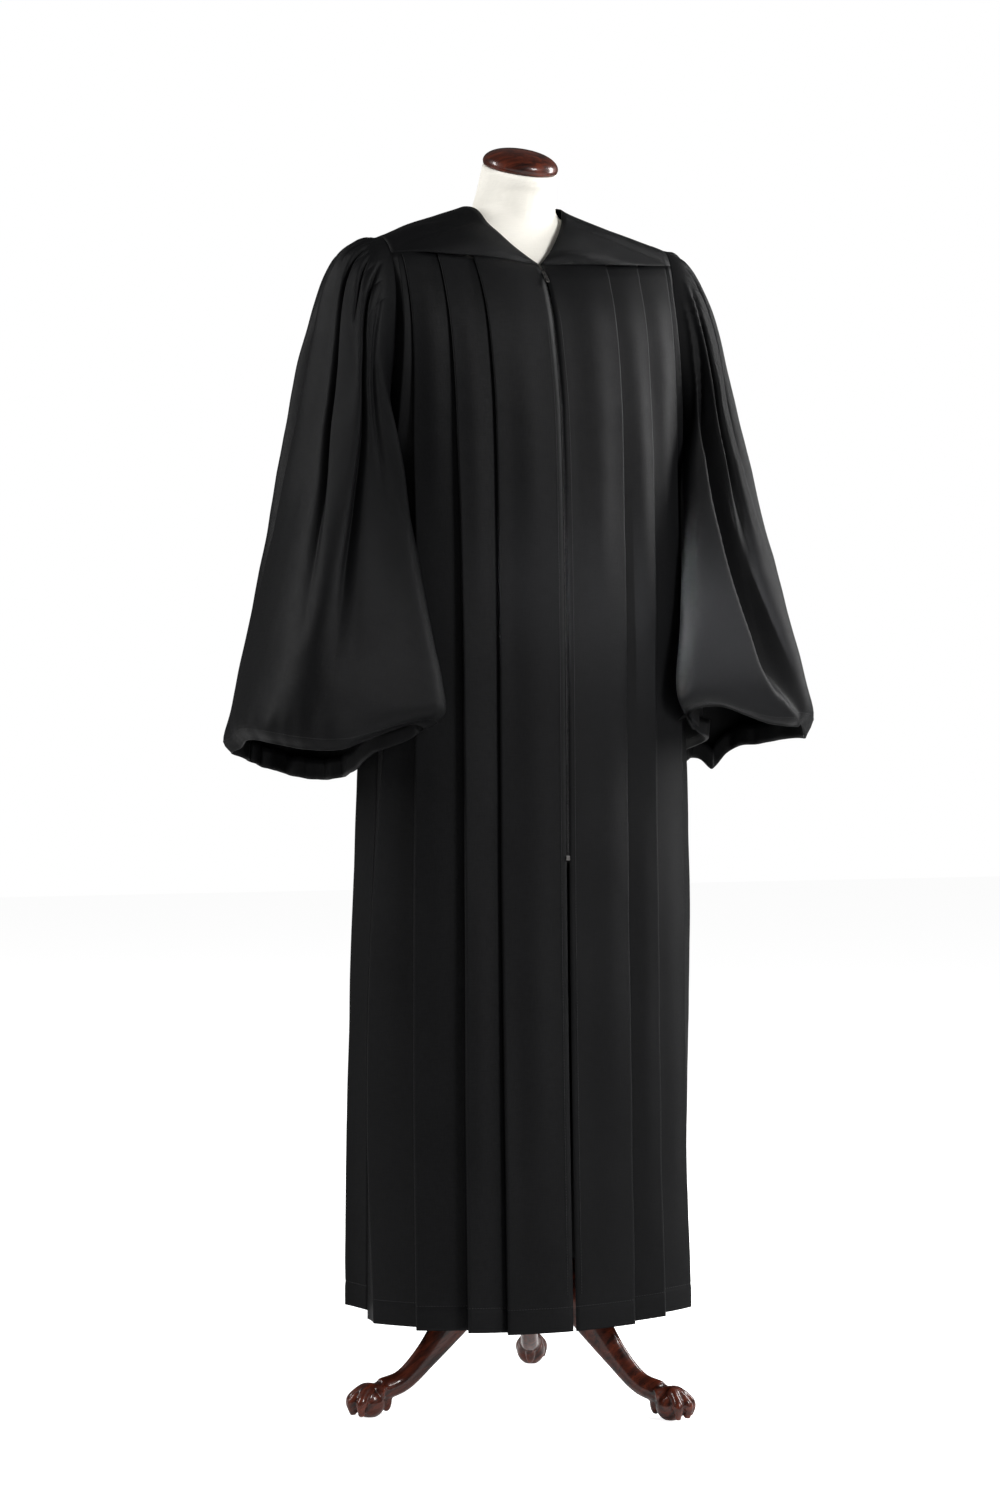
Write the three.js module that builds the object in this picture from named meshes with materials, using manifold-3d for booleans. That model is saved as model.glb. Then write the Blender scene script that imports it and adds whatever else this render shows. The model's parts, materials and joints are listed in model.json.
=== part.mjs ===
// A pleated barrister gown with bell sleeves, a V neck and a front zip, worn by a limbless dress form.
// The form stands on a turned column with three cabriole legs that end in ball-and-claw feet.
// Units are millimetres, +Z is up, the gown faces -Y and the wearer's right hand is on the -X side.
// Most sizes are written as "side" (distance from the middle, outwards), "fwd" (distance forwards) and "z".
import * as THREE from "three";
import { mergeVertices } from "three/addons/utils/BufferGeometryUtils.js";
import Module from "manifold-3d";

const wasm = await Module();
wasm.setup();

// Driving sizes
const CLOTH = 1.6; // thickness of every cloth wall
const SEAM_GAP = 0.35; // clear distance left at each seam
const YOKE_SEAM_Z = 1366; // front yoke seam, level with the bottom of the V neck
const BACK_SEAM_Z = 1345; // back yoke seam
const ZIP_HALF = 2.2; // half the width of the zip chain
const ZIP_END_Z = 660; // bottom stop of the zip; the fronts hang open below it
const FORM_BOTTOM_Z = 770; // flat underside of the torso
const POLE_R = 12.5;
const COLUMN_TOP_Z = 330;
const BASE_TURN = THREE.MathUtils.degToRad(26.5); // the tripod's turn against the gown
const TAU = Math.PI * 2;

// Colours
const CLOTH_BLACK = { color: 0x1b1c1e, roughness: 0.82, metalness: 0 };
const ZIP_BLACK = { color: 0x151515, roughness: 0.4, metalness: 0.3 };
const ZIP_METAL = { color: 0x3a3a3c, roughness: 0.35, metalness: 0.9 };
const LINEN_IVORY = { color: 0xf4efe0, roughness: 0.9, metalness: 0 };
const MAHOGANY = { color: 0x3a1710, roughness: 0.25, metalness: 0 };
const POLE_STEEL = { color: 0x8a8a8c, roughness: 0.35, metalness: 1 };

const lerp = (a, b, k) => a + (b - a) * k;
const clamp01 = (k) => Math.min(1, Math.max(0, k));
const smooth = (k) => clamp01(k) ** 2 * (3 - 2 * clamp01(k));
const spow = (v, p) => Math.sign(v) * Math.abs(v) ** p;
const at = (side, fwd, z) => new THREE.Vector3(side, -fwd, z);

// A table from the names of its columns and its rows of numbers.
const table = (names, rows) =>
  rows.map((row) => Object.fromEntries(names.split(" ").map((name, i) => [name, row[i]])));

// Reads a table of rows at any key by a smooth curve through each column.
function readTable(rows, keyName, key) {
  const rising = rows[1][keyName] > rows[0][keyName] ? 1 : -1;
  let i = rows.findIndex((row) => (row[keyName] - key) * rising >= 0);
  if (i < 0) i = rows.length - 1;
  if (i === 0) i = 1;
  const [a, b] = [rows[i - 1], rows[i]];
  const [before, after] = [rows[Math.max(0, i - 2)], rows[Math.min(rows.length - 1, i + 1)]];
  const span = b[keyName] - a[keyName];
  const k = clamp01((key - a[keyName]) / span);
  const out = {};
  for (const name of Object.keys(a)) {
    const slope = (p, q) => ((q[name] - p[name]) / (q[keyName] - p[keyName] || 1)) * span;
    const m0 = slope(before, b);
    const m1 = slope(a, after);
    const [k2, k3] = [k * k, k * k * k];
    out[name] =
      a[name] * (2 * k3 - 3 * k2 + 1) + m0 * (k3 - 2 * k2 + k) + b[name] * (3 * k2 - 2 * k3) + m1 * (k3 - k2);
  }
  return out;
}

// Cloth walls

// The normal of a grid of points at one crossing, from its neighbours.
function gridNormal(grid, r, c, closed) {
  const wide = grid[r].length;
  const left = closed ? (c + wide - 1) % wide : Math.max(0, c - 1);
  const right = closed ? (c + 1) % wide : Math.min(wide - 1, c + 1);
  const across = grid[r][right].clone().sub(grid[r][left]);
  const down = grid[Math.min(grid.length - 1, r + 1)][c].clone().sub(grid[Math.max(0, r - 1)][c]);
  return across.cross(down).normalize();
}

// A closed solid from a list of corner points and a list of triangles, turned to face outwards.
function solidFrom(points, triangles) {
  const geometry = new THREE.BufferGeometry();
  const numbers = points.flatMap((p) => [p.x, p.y, p.z]);
  geometry.setAttribute("position", new THREE.Float32BufferAttribute(numbers, 3));
  let volume = 0;
  for (const [a, b, c] of triangles) volume += points[a].dot(points[b].clone().cross(points[c]));
  geometry.setIndex(triangles.flatMap(([a, b, c]) => (volume < 0 ? [a, c, b] : [a, b, c])));
  geometry.computeVertexNormals();
  return geometry;
}

// A wall of even thickness whose middle surface is a grid of points.
// A closed grid joins its last column to its first.
function wall(grid, closed = false, thickness = CLOTH) {
  const [rows, wide] = [grid.length, grid[0].length];
  const points = [];
  for (const face of [0.5, -0.5]) {
    for (let r = 0; r < rows; r++) {
      for (let c = 0; c < wide; c++) {
        points.push(grid[r][c].clone().addScaledVector(gridNormal(grid, r, c, closed), face * thickness));
      }
    }
  }
  const id = (face, r, c) => face * rows * wide + r * wide + (c % wide);
  const triangles = [];
  const quad = (a, b, c, d) => triangles.push([a, b, c], [a, c, d]);
  const spans = closed ? wide : wide - 1;
  for (let r = 0; r < rows - 1; r++) {
    for (let c = 0; c < spans; c++) {
      quad(id(0, r, c), id(0, r, c + 1), id(0, r + 1, c + 1), id(0, r + 1, c));
      quad(id(1, r, c), id(1, r + 1, c), id(1, r + 1, c + 1), id(1, r, c + 1));
    }
  }
  for (let c = 0; c < spans; c++) {
    quad(id(0, 0, c + 1), id(0, 0, c), id(1, 0, c), id(1, 0, c + 1));
    quad(id(0, rows - 1, c), id(0, rows - 1, c + 1), id(1, rows - 1, c + 1), id(1, rows - 1, c));
  }
  if (!closed) {
    for (let r = 0; r < rows - 1; r++) {
      quad(id(0, r, 0), id(0, r + 1, 0), id(1, r + 1, 0), id(1, r, 0));
      quad(id(0, r + 1, wide - 1), id(0, r, wide - 1), id(1, r, wide - 1), id(1, r + 1, wide - 1));
    }
  }
  return solidFrom(points, triangles);
}

// A solid through rings of points, capped flat at both ends.
function loft(rings) {
  const wide = rings[0].length;
  const points = rings.flat();
  const triangles = [];
  for (let r = 0; r < rings.length - 1; r++) {
    for (let c = 0; c < wide; c++) {
      const [a, b] = [r * wide + c, r * wide + ((c + 1) % wide)];
      triangles.push([a, b, b + wide], [a, b + wide, a + wide]);
    }
  }
  for (const [start, flip] of [[0, true], [(rings.length - 1) * wide, false]]) {
    const middle = points.length;
    const ring = points.slice(start, start + wide);
    points.push(ring.reduce((sum, p) => sum.add(p), new THREE.Vector3()).divideScalar(wide));
    for (let c = 0; c < wide; c++) {
      const [a, b] = [start + c, start + ((c + 1) % wide)];
      triangles.push(flip ? [middle, b, a] : [middle, a, b]);
    }
  }
  return solidFrom(points, triangles);
}

// Boolean joins
function toManifold(geometry, matrix = new THREE.Matrix4()) {
  const plain = geometry.index ? geometry.toNonIndexed() : geometry.clone();
  const bare = new THREE.BufferGeometry();
  bare.setAttribute("position", plain.getAttribute("position").clone());
  const merged = mergeVertices(bare.applyMatrix4(matrix), 1e-3);
  return new wasm.Manifold(
    new wasm.Mesh({
      numProp: 3,
      vertProperties: merged.attributes.position.array,
      triVerts: new Uint32Array(merged.index.array),
    }),
  );
}

function fromManifold(solid) {
  const mesh = solid.getMesh();
  const geometry = new THREE.BufferGeometry();
  geometry.setAttribute("position", new THREE.BufferAttribute(mesh.vertProperties, 3));
  geometry.setIndex(new THREE.BufferAttribute(mesh.triVerts, 1));
  geometry.computeVertexNormals();
  return geometry;
}

// Armhole: the seam between sleeve and body, as an upright oval.
// An angle of 0 is the shoulder point, 90 degrees the front, 180 the underarm and 270 the back.
const ARMHOLE = { topSide: 187, topZ: 1391, underSide: 199, underZ: 1130, front: 45, back: -76, dip: 8 };
const ARMHOLE_MID = (ARMHOLE.front + ARMHOLE.back) / 2;
const ARMHOLE_HALF = (ARMHOLE.front - ARMHOLE.back) / 2;
const ARMHOLE_SQUARE = 2.6; // squareness of the upper half, where the front and back run almost upright

const sleeveSquare = (angle, square) => (Math.cos(angle) > 0 ? Math.max(square, ARMHOLE_SQUARE) : square);

function armholeAt(angle) {
  const power = 2 / sleeveSquare(angle, 2);
  const k = (1 + spow(Math.cos(angle), power)) / 2;
  const s = spow(Math.sin(angle), power);
  const side = lerp(ARMHOLE.underSide, ARMHOLE.topSide, k) - ARMHOLE.dip * s * s;
  return { side, fwd: ARMHOLE_MID + ARMHOLE_HALF * s, z: lerp(ARMHOLE.underZ, ARMHOLE.topZ, k) };
}

// The angle round the armhole at a height, on its front half, found by halving.
function armholeAngle(z) {
  let [high, low] = [0, Math.PI];
  for (let i = 0; i < 30; i++) {
    const middle = (high + low) / 2;
    if (armholeAt(middle).z > z) high = middle;
    else low = middle;
  }
  return (high + low) / 2;
}

// Pleated panels
// Each row is a level: the middle line's forward distance, then side and fwd of each pleat's folded edge,
// counted outwards from the middle. "layer" is the step between the layers of a pleat and "under" the width
// tucked below its edge.
const FRONT_ROWS = table("z mid e1s e1f e2s e2f e3s e3f e4s e4f layer under", [
  [1366, 44, 87, 47, 131, 43, 173, 35, 180, 32, 3.4, 8],
  [1347, 62, 86, 61, 130, 54, 172, 45, 180, 40, 3.5, 9],
  [1304, 83, 84, 81, 129, 72, 171, 60, 181, 50, 3.8, 10],
  [1260, 95, 83, 93, 128, 83, 171, 67, 183, 52, 4, 12],
  [1200, 107, 82, 103, 127, 91, 172, 70, 187, 46, 4.6, 14],
  [1155, 112, 82, 106, 127, 95, 173, 71, 190, 36, 4.8, 15],
  [1128, 114, 82, 108, 127, 98, 173, 72, 193, 10, 5, 16],
  [1020, 119, 82, 113, 126, 105, 173, 78, 194, 24, 5.4, 17],
  [850, 124, 82, 117, 125, 110, 174, 81, 197, 39, 5.8, 18],
  [600, 128, 82, 123, 125, 115, 177, 83, 210, 32, 6.2, 20],
  [350, 136, 82, 132, 126, 120, 178, 86, 212, 20, 6.6, 21],
  [108, 146, 82, 141, 127, 131, 179, 96, 204, 19, 7, 22],
]);
const BACK_ROWS = table("z mid e1s e1f e2s e2f e3s e3f layer under", [
  [1345, 98, 78, 98, 136, 86, 179, 66, 2.6, 8],
  [1304, 107, 78, 108, 137, 97, 180, 79, 3.2, 12],
  [1260, 114, 79, 114, 138, 104, 182, 82, 4, 15],
  [1200, 119, 80, 118, 139, 108, 185, 77, 4.6, 17],
  [1155, 121, 80, 120, 140, 109, 190, 64, 4.8, 19],
  [1128, 122, 81, 121, 140, 110, 195, 34, 5, 20],
  [1020, 124, 81, 123, 140, 112, 195, 48, 5.4, 22],
  [850, 128, 82, 127, 141, 115, 197, 44, 5.8, 24],
  [600, 131, 83, 130, 143, 118, 207, 43, 6.2, 26],
  [350, 135, 84, 134, 145, 122, 214, 42, 6.6, 28],
  [118, 140, 85, 139, 147, 127, 218, 38, 7, 30],
]);
// The side seam below the armhole, shared by the front and the back.
const SIDE_SEAM = table("z side fwd", [
  [1130, 199, -15.5],
  [1115, 193, -14],
  [1010, 187, -8],
  [790, 188, -2],
  [480, 197, -11],
  [100, 200, -8],
]);
// The levels between the yoke seam and the hem.
const PANEL_Z = [1338, 1300, 1256, 1208, 1168, 1145, 1133, 1118, 1010, 790, 480];
const FACE_BULGE = 0.055; // how far a pleat's face rounds outwards, as a share of its width
const HEM_RISE = [0, 1, 5, 6, 3]; // the hem's height at the middle and at each folded edge
const HEM_REACH = 450; // the hem's rise fades out at this height
const YOKE_SEAM_DROP = 1.4; // the panels start this far below the yoke seam, on the slope
const SIDE_SEAM_CLEAR = 0.55; // and end this far short of the side seam

// Where a panel ends, at the armhole or the side seam; on the back panel fwd is counted backwards.
function sideSeam(z, sign) {
  if (z > ARMHOLE.underZ) {
    const hole = armholeAt(armholeAngle(z));
    const fwd = sign > 0 ? hole.fwd : 2 * ARMHOLE_MID - hole.fwd;
    return new THREE.Vector2(hole.side - SIDE_SEAM_CLEAR, sign * fwd);
  }
  const i = Math.max(1, SIDE_SEAM.findIndex((row) => row.z <= z));
  const [a, b] = [SIDE_SEAM[i - 1], SIDE_SEAM[i]];
  const k = (z - a.z) / (b.z - a.z);
  return new THREE.Vector2(lerp(a.side, b.side, k), sign * lerp(a.fwd, b.fwd, k) + SIDE_SEAM_CLEAR);
}

// The points of one level of a pleated half panel, from the middle to the side seam, as side and fwd.
function pleatedLevel(rows, z, start) {
  const row = readTable(rows, "z", z);
  const pleats = row.e4s ? 4 : 3;
  const V = (side, fwd) => new THREE.Vector2(side, fwd);
  const turn = row.layer / 2;
  const out = [];
  let [from, fromLift, hidden] = [V(start, row.mid), HEM_RISE[0], 0];
  for (let k = 1; k <= pleats; k++) {
    const edge = V(row[`e${k}s`], row[`e${k}f`]);
    const along = edge.clone().sub(from).normalize();
    const outwards = V(-along.y, along.x);
    const inFrom = (back, deep) =>
      edge.clone().addScaledVector(along, -back).addScaledVector(outwards, -deep);
    const faceEnd = inFrom(turn, 0);
    const wide = from.distanceTo(faceEnd);
    const lift = HEM_RISE[k];
    for (const u of k === 1 ? [0, 0.33, 0.66] : [0, 0.42, 0.76]) {
      const shown = clamp01((u * wide - hidden) / Math.max(1, wide - hidden));
      const bulge = FACE_BULGE * (wide - hidden) * 4 * shown * (1 - shown);
      const p = from.clone().lerp(faceEnd, u).addScaledVector(outwards, bulge);
      out.push({ p, lift: lerp(fromLift, lift, u) });
    }
    out.push({ p: faceEnd, lift }, { p: inFrom(0, turn), lift });
    if (k < pleats) {
      out.push({ p: inFrom(turn, row.layer), lift });
      out.push({ p: inFrom(row.under - turn, row.layer), lift });
      out.push({ p: inFrom(row.under, row.layer + turn), lift });
      from = inFrom(row.under - turn, 2 * row.layer);
      fromLift = lift;
      hidden = row.under;
    }
  }
  // Above the underarm the panel ends at the armhole; its last fold lies flat there and opens lower down.
  const seam = sideSeam(z, rows === FRONT_ROWS ? 1 : -1);
  const free = smooth((ARMHOLE.underZ - z) / 120);
  const lastEdge = out[out.length - 1].p;
  const recess = lastEdge.clone().lerp(seam, 0.35).add(V(-0.5 * row.layer, 0));
  out.push({ p: recess, lift: HEM_RISE[pleats] });
  const faceTail = out[out.length - 4].p;
  out.slice(-3).forEach((entry, i) => {
    const flat = faceTail.clone().lerp(seam, 0.25 + 0.25 * i);
    entry.p.copy(flat.lerp(entry.p, free));
  });
  out.push({ p: seam, lift: HEM_RISE[4] });
  return out;
}

function panelLevels(rows) {
  const [top, bottom] = [rows[0].z - YOKE_SEAM_DROP, rows[rows.length - 1].z];
  return [top, ...PANEL_Z.filter((z) => z < top - 10), bottom];
}

function pleatedHalf(rows, start) {
  const bottom = rows[rows.length - 1].z;
  return panelLevels(rows).map((z) => {
    const low = clamp01((HEM_REACH - z) / (HEM_REACH - bottom));
    return pleatedLevel(rows, z, start).map(({ p, lift }) => at(p.x, p.y, z + lift * low));
  });
}

const mirrored = (grid) => grid.map((row) => row.map((p) => new THREE.Vector3(-p.x, p.y, p.z)));

function frontPanel(hand) {
  const grid = pleatedHalf(FRONT_ROWS, ZIP_HALF + SEAM_GAP);
  return wall(hand < 0 ? mirrored(grid) : grid);
}

// The back is one piece; its halves mirror each other about the middle.
function backPanel() {
  const half = pleatedHalf(BACK_ROWS, 0).map((row) => row.map((p) => new THREE.Vector3(p.x, -p.y, p.z)));
  const grid = half.map((row) => [
    ...row.slice(1).reverse().map((p) => new THREE.Vector3(-p.x, p.y, p.z)),
    ...row,
  ]);
  return wall(grid);
}

// Dress form
// Each row is a level of the torso: half width, front and back reach, and squareness.
const FORM_ROWS = table("z half front back square", [
  [770, 150, 90, -96, 2.2],
  [800, 160, 97, -106, 2.2],
  [870, 168, 100, -110, 2.2],
  [960, 158, 98, -102, 2.2],
  [1040, 147, 95, -92, 2.2],
  [1120, 153, 96, -93, 2.3],
  [1200, 165, 91, -96, 2.3],
  [1260, 170, 80, -95, 2.3],
  [1304, 172, 65, -92, 2.3],
  [1340, 173, 46, -86, 2.2],
  [1366, 170, 33, -80, 2.1],
  [1384, 168, 27, -77, 2.0],
  [1398, 154, 23, -75, 1.9],
  [1410, 133, 20, -75, 1.8],
  [1422, 107, 18, -77, 1.8],
  [1434, 77, 16, -79, 1.85],
  [1443, 58, 16, -80, 1.95],
  [1454, 51, 19, -79, 2],
  [1468, 48, 24, -73, 2],
  [1494, 45, 32, -58, 2],
]);
const NECK_BASE_Z = 1454;
const NECK_TOP_Z = 1494;
const NECK_TILT = 0.4; // forward fall of the neck's top plane
const FORM_SIDES = 24;
const NECK_CENTRE = -13;
const CAP_R = 46.5;
const CAP_HEIGHT = 19;
const CAP_RIM_Z = 5; // the cap is widest here
const CAP_TURN_UNDER = -0.5; // its edge starts this far below the widest place, in radians
const CAP_STEPS = 7;

function formRing(z) {
  const row = readTable(FORM_ROWS, "z", z);
  const centre = (row.front + row.back) / 2;
  const reach = (row.front - row.back) / 2;
  const tilt = NECK_TILT * smooth((z - NECK_BASE_Z) / (NECK_TOP_Z - NECK_BASE_Z));
  return Array.from({ length: FORM_SIDES }, (_, i) => {
    const angle = (i / FORM_SIDES) * TAU;
    const side = row.half * spow(Math.sin(angle), 2 / row.square);
    const ahead = reach * spow(Math.cos(angle), 2 / row.square);
    return at(side, centre + ahead, z - tilt * ahead);
  });
}

const formTorso = () => loft(FORM_ROWS.map((row) => formRing(row.z)));

// The height of the form's shoulders above a place, found by halving.
function formHeight(side, fwd) {
  const inside = (z) => {
    const row = readTable(FORM_ROWS, "z", z);
    const centre = (row.front + row.back) / 2;
    const reach = (row.front - row.back) / 2;
    return Math.abs(side / row.half) ** row.square + Math.abs((fwd - centre) / reach) ** row.square < 1;
  };
  let [low, high] = [1300, NECK_BASE_Z];
  if (!inside(low)) return low;
  for (let i = 0; i < 24; i++) {
    const z = (low + high) / 2;
    if (inside(z)) low = z;
    else high = z;
  }
  return low;
}

// A domed cap whose edge is rounded under to a flat base.
function neckCap() {
  const profile = [new THREE.Vector2(0, 0), new THREE.Vector2(CAP_R - 3, 0)];
  for (let i = 0; i < CAP_STEPS; i++) {
    const angle = lerp(CAP_TURN_UNDER, Math.PI / 2, i / CAP_STEPS);
    const z = CAP_RIM_Z + (CAP_HEIGHT - CAP_RIM_Z) * Math.sin(angle);
    profile.push(new THREE.Vector2(CAP_R * Math.cos(angle), Math.max(1, z)));
  }
  profile.push(new THREE.Vector2(0, CAP_HEIGHT));
  return new THREE.LatheGeometry(profile, 24).rotateX(Math.PI / 2);
}

// Yoke
// The neckline runs from the V to the middle of the back.
const NECKLINE = table("t side fwd z", [
  [0, 6, 42, 1371],
  [0.14, 20.5, 35.5, 1386],
  [0.3, 36, 23.5, 1409],
  [0.46, 50, 1, 1430],
  [0.64, 60, -36, 1449.5],
  [0.8, 48, -70, 1453],
  [1, 0, -87, 1450],
]);
const YOKE_SPANS = { front: 8, armhole: 6, back: 7 };
// The shares of the neckline, from the V, at which the front seam and the armhole end.
const NECK_SHARE = { front: 0.384, armhole: 0.682 };
const YOKE_LEVELS = [0, 0.25, 0.5, 0.75, 1];
const YOKE_START = 6; // the yoke's front ends stop this far from the middle
const YOKE_BULGE = { front: 5, shoulder: 4, back: 7 };
const BULGE_OUT = 0.6; // the share of a bulge that goes outwards
const BULGE_UP = 0.7; // and the share that goes upwards
const YOKE_FULL = 60; // a stretch this long rounds out in full
const YOKE_REST = CLOTH / 2 + 2.5; // the cloth's middle lies this far off the form

// The yoke's outer edge: along the front seam, over the armhole and along the back seam.
function yokeOuter() {
  const front = readTable(FRONT_ROWS, "z", YOKE_SEAM_Z);
  const back = readTable(BACK_ROWS, "z", BACK_SEAM_Z);
  const frontAngle = armholeAngle(YOKE_SEAM_Z);
  const backAngle = -armholeAngle(BACK_SEAM_Z);
  const corner = armholeAt(frontAngle);
  const rear = armholeAt(backAngle);
  const seam = (row, end, sign, start) =>
    table("t side fwd", [
      [0, start, sign * row.mid],
      [0.4, row.e1s, sign * row.e1f],
      [0.72, row.e2s, sign * row.e2f],
      [1, end.side, end.fwd],
    ]);
  const frontSeam = seam(front, corner, 1, YOKE_START);
  const backSeam = seam(back, rear, -1, 0);
  const points = [];
  for (let i = 0; i < YOKE_SPANS.front; i++) {
    const p = readTable(frontSeam, "t", i / YOKE_SPANS.front);
    const neck = NECK_SHARE.front * (i / YOKE_SPANS.front);
    points.push({ p: at(p.side, p.fwd, YOKE_SEAM_Z), neck, bulge: YOKE_BULGE.front });
  }
  for (let i = 0; i <= YOKE_SPANS.armhole; i++) {
    const k = i / YOKE_SPANS.armhole;
    const p = armholeAt(lerp(frontAngle, backAngle, k));
    const neck = lerp(NECK_SHARE.front, NECK_SHARE.armhole, k);
    points.push({ p: at(p.side, p.fwd, p.z), neck, bulge: YOKE_BULGE.shoulder });
  }
  for (let i = 1; i <= YOKE_SPANS.back; i++) {
    const k = i / YOKE_SPANS.back;
    const p = readTable(backSeam, "t", 1 - k);
    const neck = lerp(NECK_SHARE.armhole, 1, k);
    points.push({ p: at(p.side, p.fwd, BACK_SEAM_Z), neck, bulge: YOKE_BULGE.back * k });
  }
  return points;
}

function yoke() {
  const outer = yokeOuter();
  const half = YOKE_LEVELS.map((v) =>
    outer.map(({ p, neck, bulge }) => {
      const n = readTable(NECKLINE, "t", neck);
      const point = at(n.side, n.fwd, n.z);
      const out = bulge * 4 * v * (1 - v) * clamp01(point.distanceTo(p) / YOKE_FULL);
      point.lerp(p, v);
      point.y += (p.y < 0 ? -1 : 1) * out * BULGE_OUT;
      point.z += out * BULGE_UP;
      const [side, fwd] = [point.x, -point.y];
      const slopeSide = (formHeight(side + 2, fwd) - formHeight(side - 2, fwd)) / 4;
      const slopeFwd = (formHeight(side, fwd + 2) - formHeight(side, fwd - 2)) / 4;
      const steep = Math.min(3, Math.hypot(1, slopeSide, slopeFwd));
      if (v < 1) point.z = Math.max(point.z, formHeight(side, fwd) + YOKE_REST * steep);
      return point;
    }),
  );
  const grid = half.map((row) => [
    ...row.slice(0, -1).map((p) => new THREE.Vector3(-p.x, p.y, p.z)),
    ...row.slice().reverse(),
  ]);
  return wall(grid);
}

// Sleeves
// Each row is a ring: its outer and inner side with their heights, its front and back reach, how far the
// armhole's curve dips in, how square it is, and how far its front inner corner wraps in front of the body.
const SLEEVE_ROWS = table("t outS outZ inS inZ front back dip square tuck push pitch", [
  [0, 187, 1391, 199, 1130, 45, -76, 8, 2, 0, 0, 0],
  [0.05, 209, 1393, 203, 1122, 52, -94, 5, 2, 8, 14, 0],
  [0.11, 231, 1380, 206, 1102, 58, -106, 2, 2, 20, 24, 0],
  [0.19, 246, 1339, 208, 1068, 64, -112, 0, 2.1, 30, 28, 0],
  [0.29, 257, 1269, 209, 1026, 72, -114, 0, 2.1, 36, 31, 1],
  [0.4, 273, 1188, 210, 984, 82, -114, 0, 2.2, 44, 30, 2],
  [0.52, 292, 1100, 211, 940, 94, -113, 0, 2.3, 53, 25, 5],
  [0.65, 315, 1006, 211, 893, 107, -112, 0, 2.45, 63, 22, 9],
  [0.78, 338, 915, 212, 845, 119, -109, 0, 2.6, 74, 18, 14],
  [0.9, 357, 843, 213, 798, 124, -110, 0, 2.6, 79, 17, 18],
  [0.96, 361, 815, 215, 772, 121, -107, 0, 2.5, 74, 14, 20],
  [1, 352, 803, 220, 760, 112, -98, 0, 2.4, 64, 10, 21],
]);
const SLEEVE_LEVELS = [0, 0.035, 0.08, 0.14, 0.23, 0.34, 0.48, 0.63, 0.79, 0.91, 0.97, 1];
const SLEEVE_HITCH = { right: 0, left: 30 }; // how much higher each sleeve's hem hangs in front
const SLEEVE_SIDES = 52;
const TUCK = { angle: 132, frontSpread: 27, innerSpread: 16 };
const GATHERS = { count: 20, deep: 3.2, fadeFrom: 0.03, fadeTo: 0.26 };
// Large folds: where each starts and ends round the sleeve in degrees, its depth (a minus sign is a trough),
// its half width in degrees, and where along the sleeve it is deepest and has gone.
const SLEEVE_FOLDS = {
  right: [
    { from: 62, to: 30, deep: -15, wide: 11, peak: 0.3, end: 0.85 },
    { from: 88, to: 62, deep: -16, wide: 11, peak: 0.35, end: 0.9 },
    { from: 22, to: 0, deep: -10, wide: 10, peak: 0.3, end: 0.7 },
    { from: -40, to: -30, deep: -14, wide: 12, peak: 0.35, end: 0.95 },
    { from: -85, to: -80, deep: -13, wide: 12, peak: 0.35, end: 0.95 },
    { from: -35, to: -35, deep: 16, wide: 38, peak: 0.25, end: 1.1 },
  ],
  left: [
    { from: 84, to: 34, deep: -17, wide: 10, peak: 0.4, end: 1.05 },
    { from: 58, to: 18, deep: -13, wide: 10, peak: 0.32, end: 0.75 },
    { from: 20, to: -8, deep: -10, wide: 10, peak: 0.3, end: 0.7 },
    { from: -40, to: -30, deep: -14, wide: 12, peak: 0.35, end: 0.95 },
    { from: -85, to: -80, deep: -13, wide: 12, peak: 0.35, end: 0.95 },
    { from: -35, to: -35, deep: 6, wide: 38, peak: 0.3, end: 1.1 },
  ],
};

const FOLD_LIP = { at: 1.9, share: 0.35 }; // beside a fold the cloth swings the other way
const SLEEVE_SEAM_CLEAR = 1.35; // the sleeve starts this far outside the armhole

const degreesApart = (a, b) => ((((a - b) % 360) + 540) % 360) - 180;

// A point of the plain sleeve, on the wearer's left.
function sleevePoint(angle, t, hitch) {
  const row = readTable(SLEEVE_ROWS, "t", t);
  const armhole = 1 - smooth(t / 0.2);
  const power = 2 / lerp(row.square, sleeveSquare(angle, row.square), armhole);
  const c = spow(Math.cos(angle), power);
  const s = spow(Math.sin(angle), power);
  const k = (1 + c) / 2;
  const apart = degreesApart((angle * 360) / TAU, TUCK.angle);
  const near = Math.exp(-((apart / (apart > 0 ? TUCK.innerSpread : TUCK.frontSpread)) ** 2));
  const side = lerp(row.inS, row.outS, k) - row.dip * s * s - row.tuck * near;
  const fwd = (row.front + row.back) / 2 + ((row.front - row.back) / 2) * s + row.push * near;
  const z = lerp(row.inZ, row.outZ, k) + row.pitch * s + hitch * t * t * (0.4 + 0.6 * s);
  return at(side + SLEEVE_SEAM_CLEAR, fwd, z);
}

// How far a sleeve's cloth stands out from the plain sleeve.
function sleeveFold(angle, t, folds) {
  const degrees = (angle * 360) / TAU;
  let out = 0;
  for (const fold of folds) {
    const rise = t < fold.peak ? smooth(t / fold.peak) : 1 - smooth((t - fold.peak) / (fold.end - fold.peak));
    const apart = degreesApart(degrees, lerp(fold.from, fold.to, t)) / fold.wide;
    const lip = Math.exp(-1.6 * (Math.abs(apart) - FOLD_LIP.at) ** 2);
    out += fold.deep * rise * (Math.exp(-apart * apart) - FOLD_LIP.share * lip);
  }
  const upper = smooth((Math.cos(angle) + 0.35) / 0.5);
  const { fadeFrom, fadeTo } = GATHERS;
  const fade = smooth(t / fadeFrom) * (1 - smooth((t - fadeFrom) / (fadeTo - fadeFrom)));
  return out + upper * fade * GATHERS.deep * Math.cos(GATHERS.count * angle);
}

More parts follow.
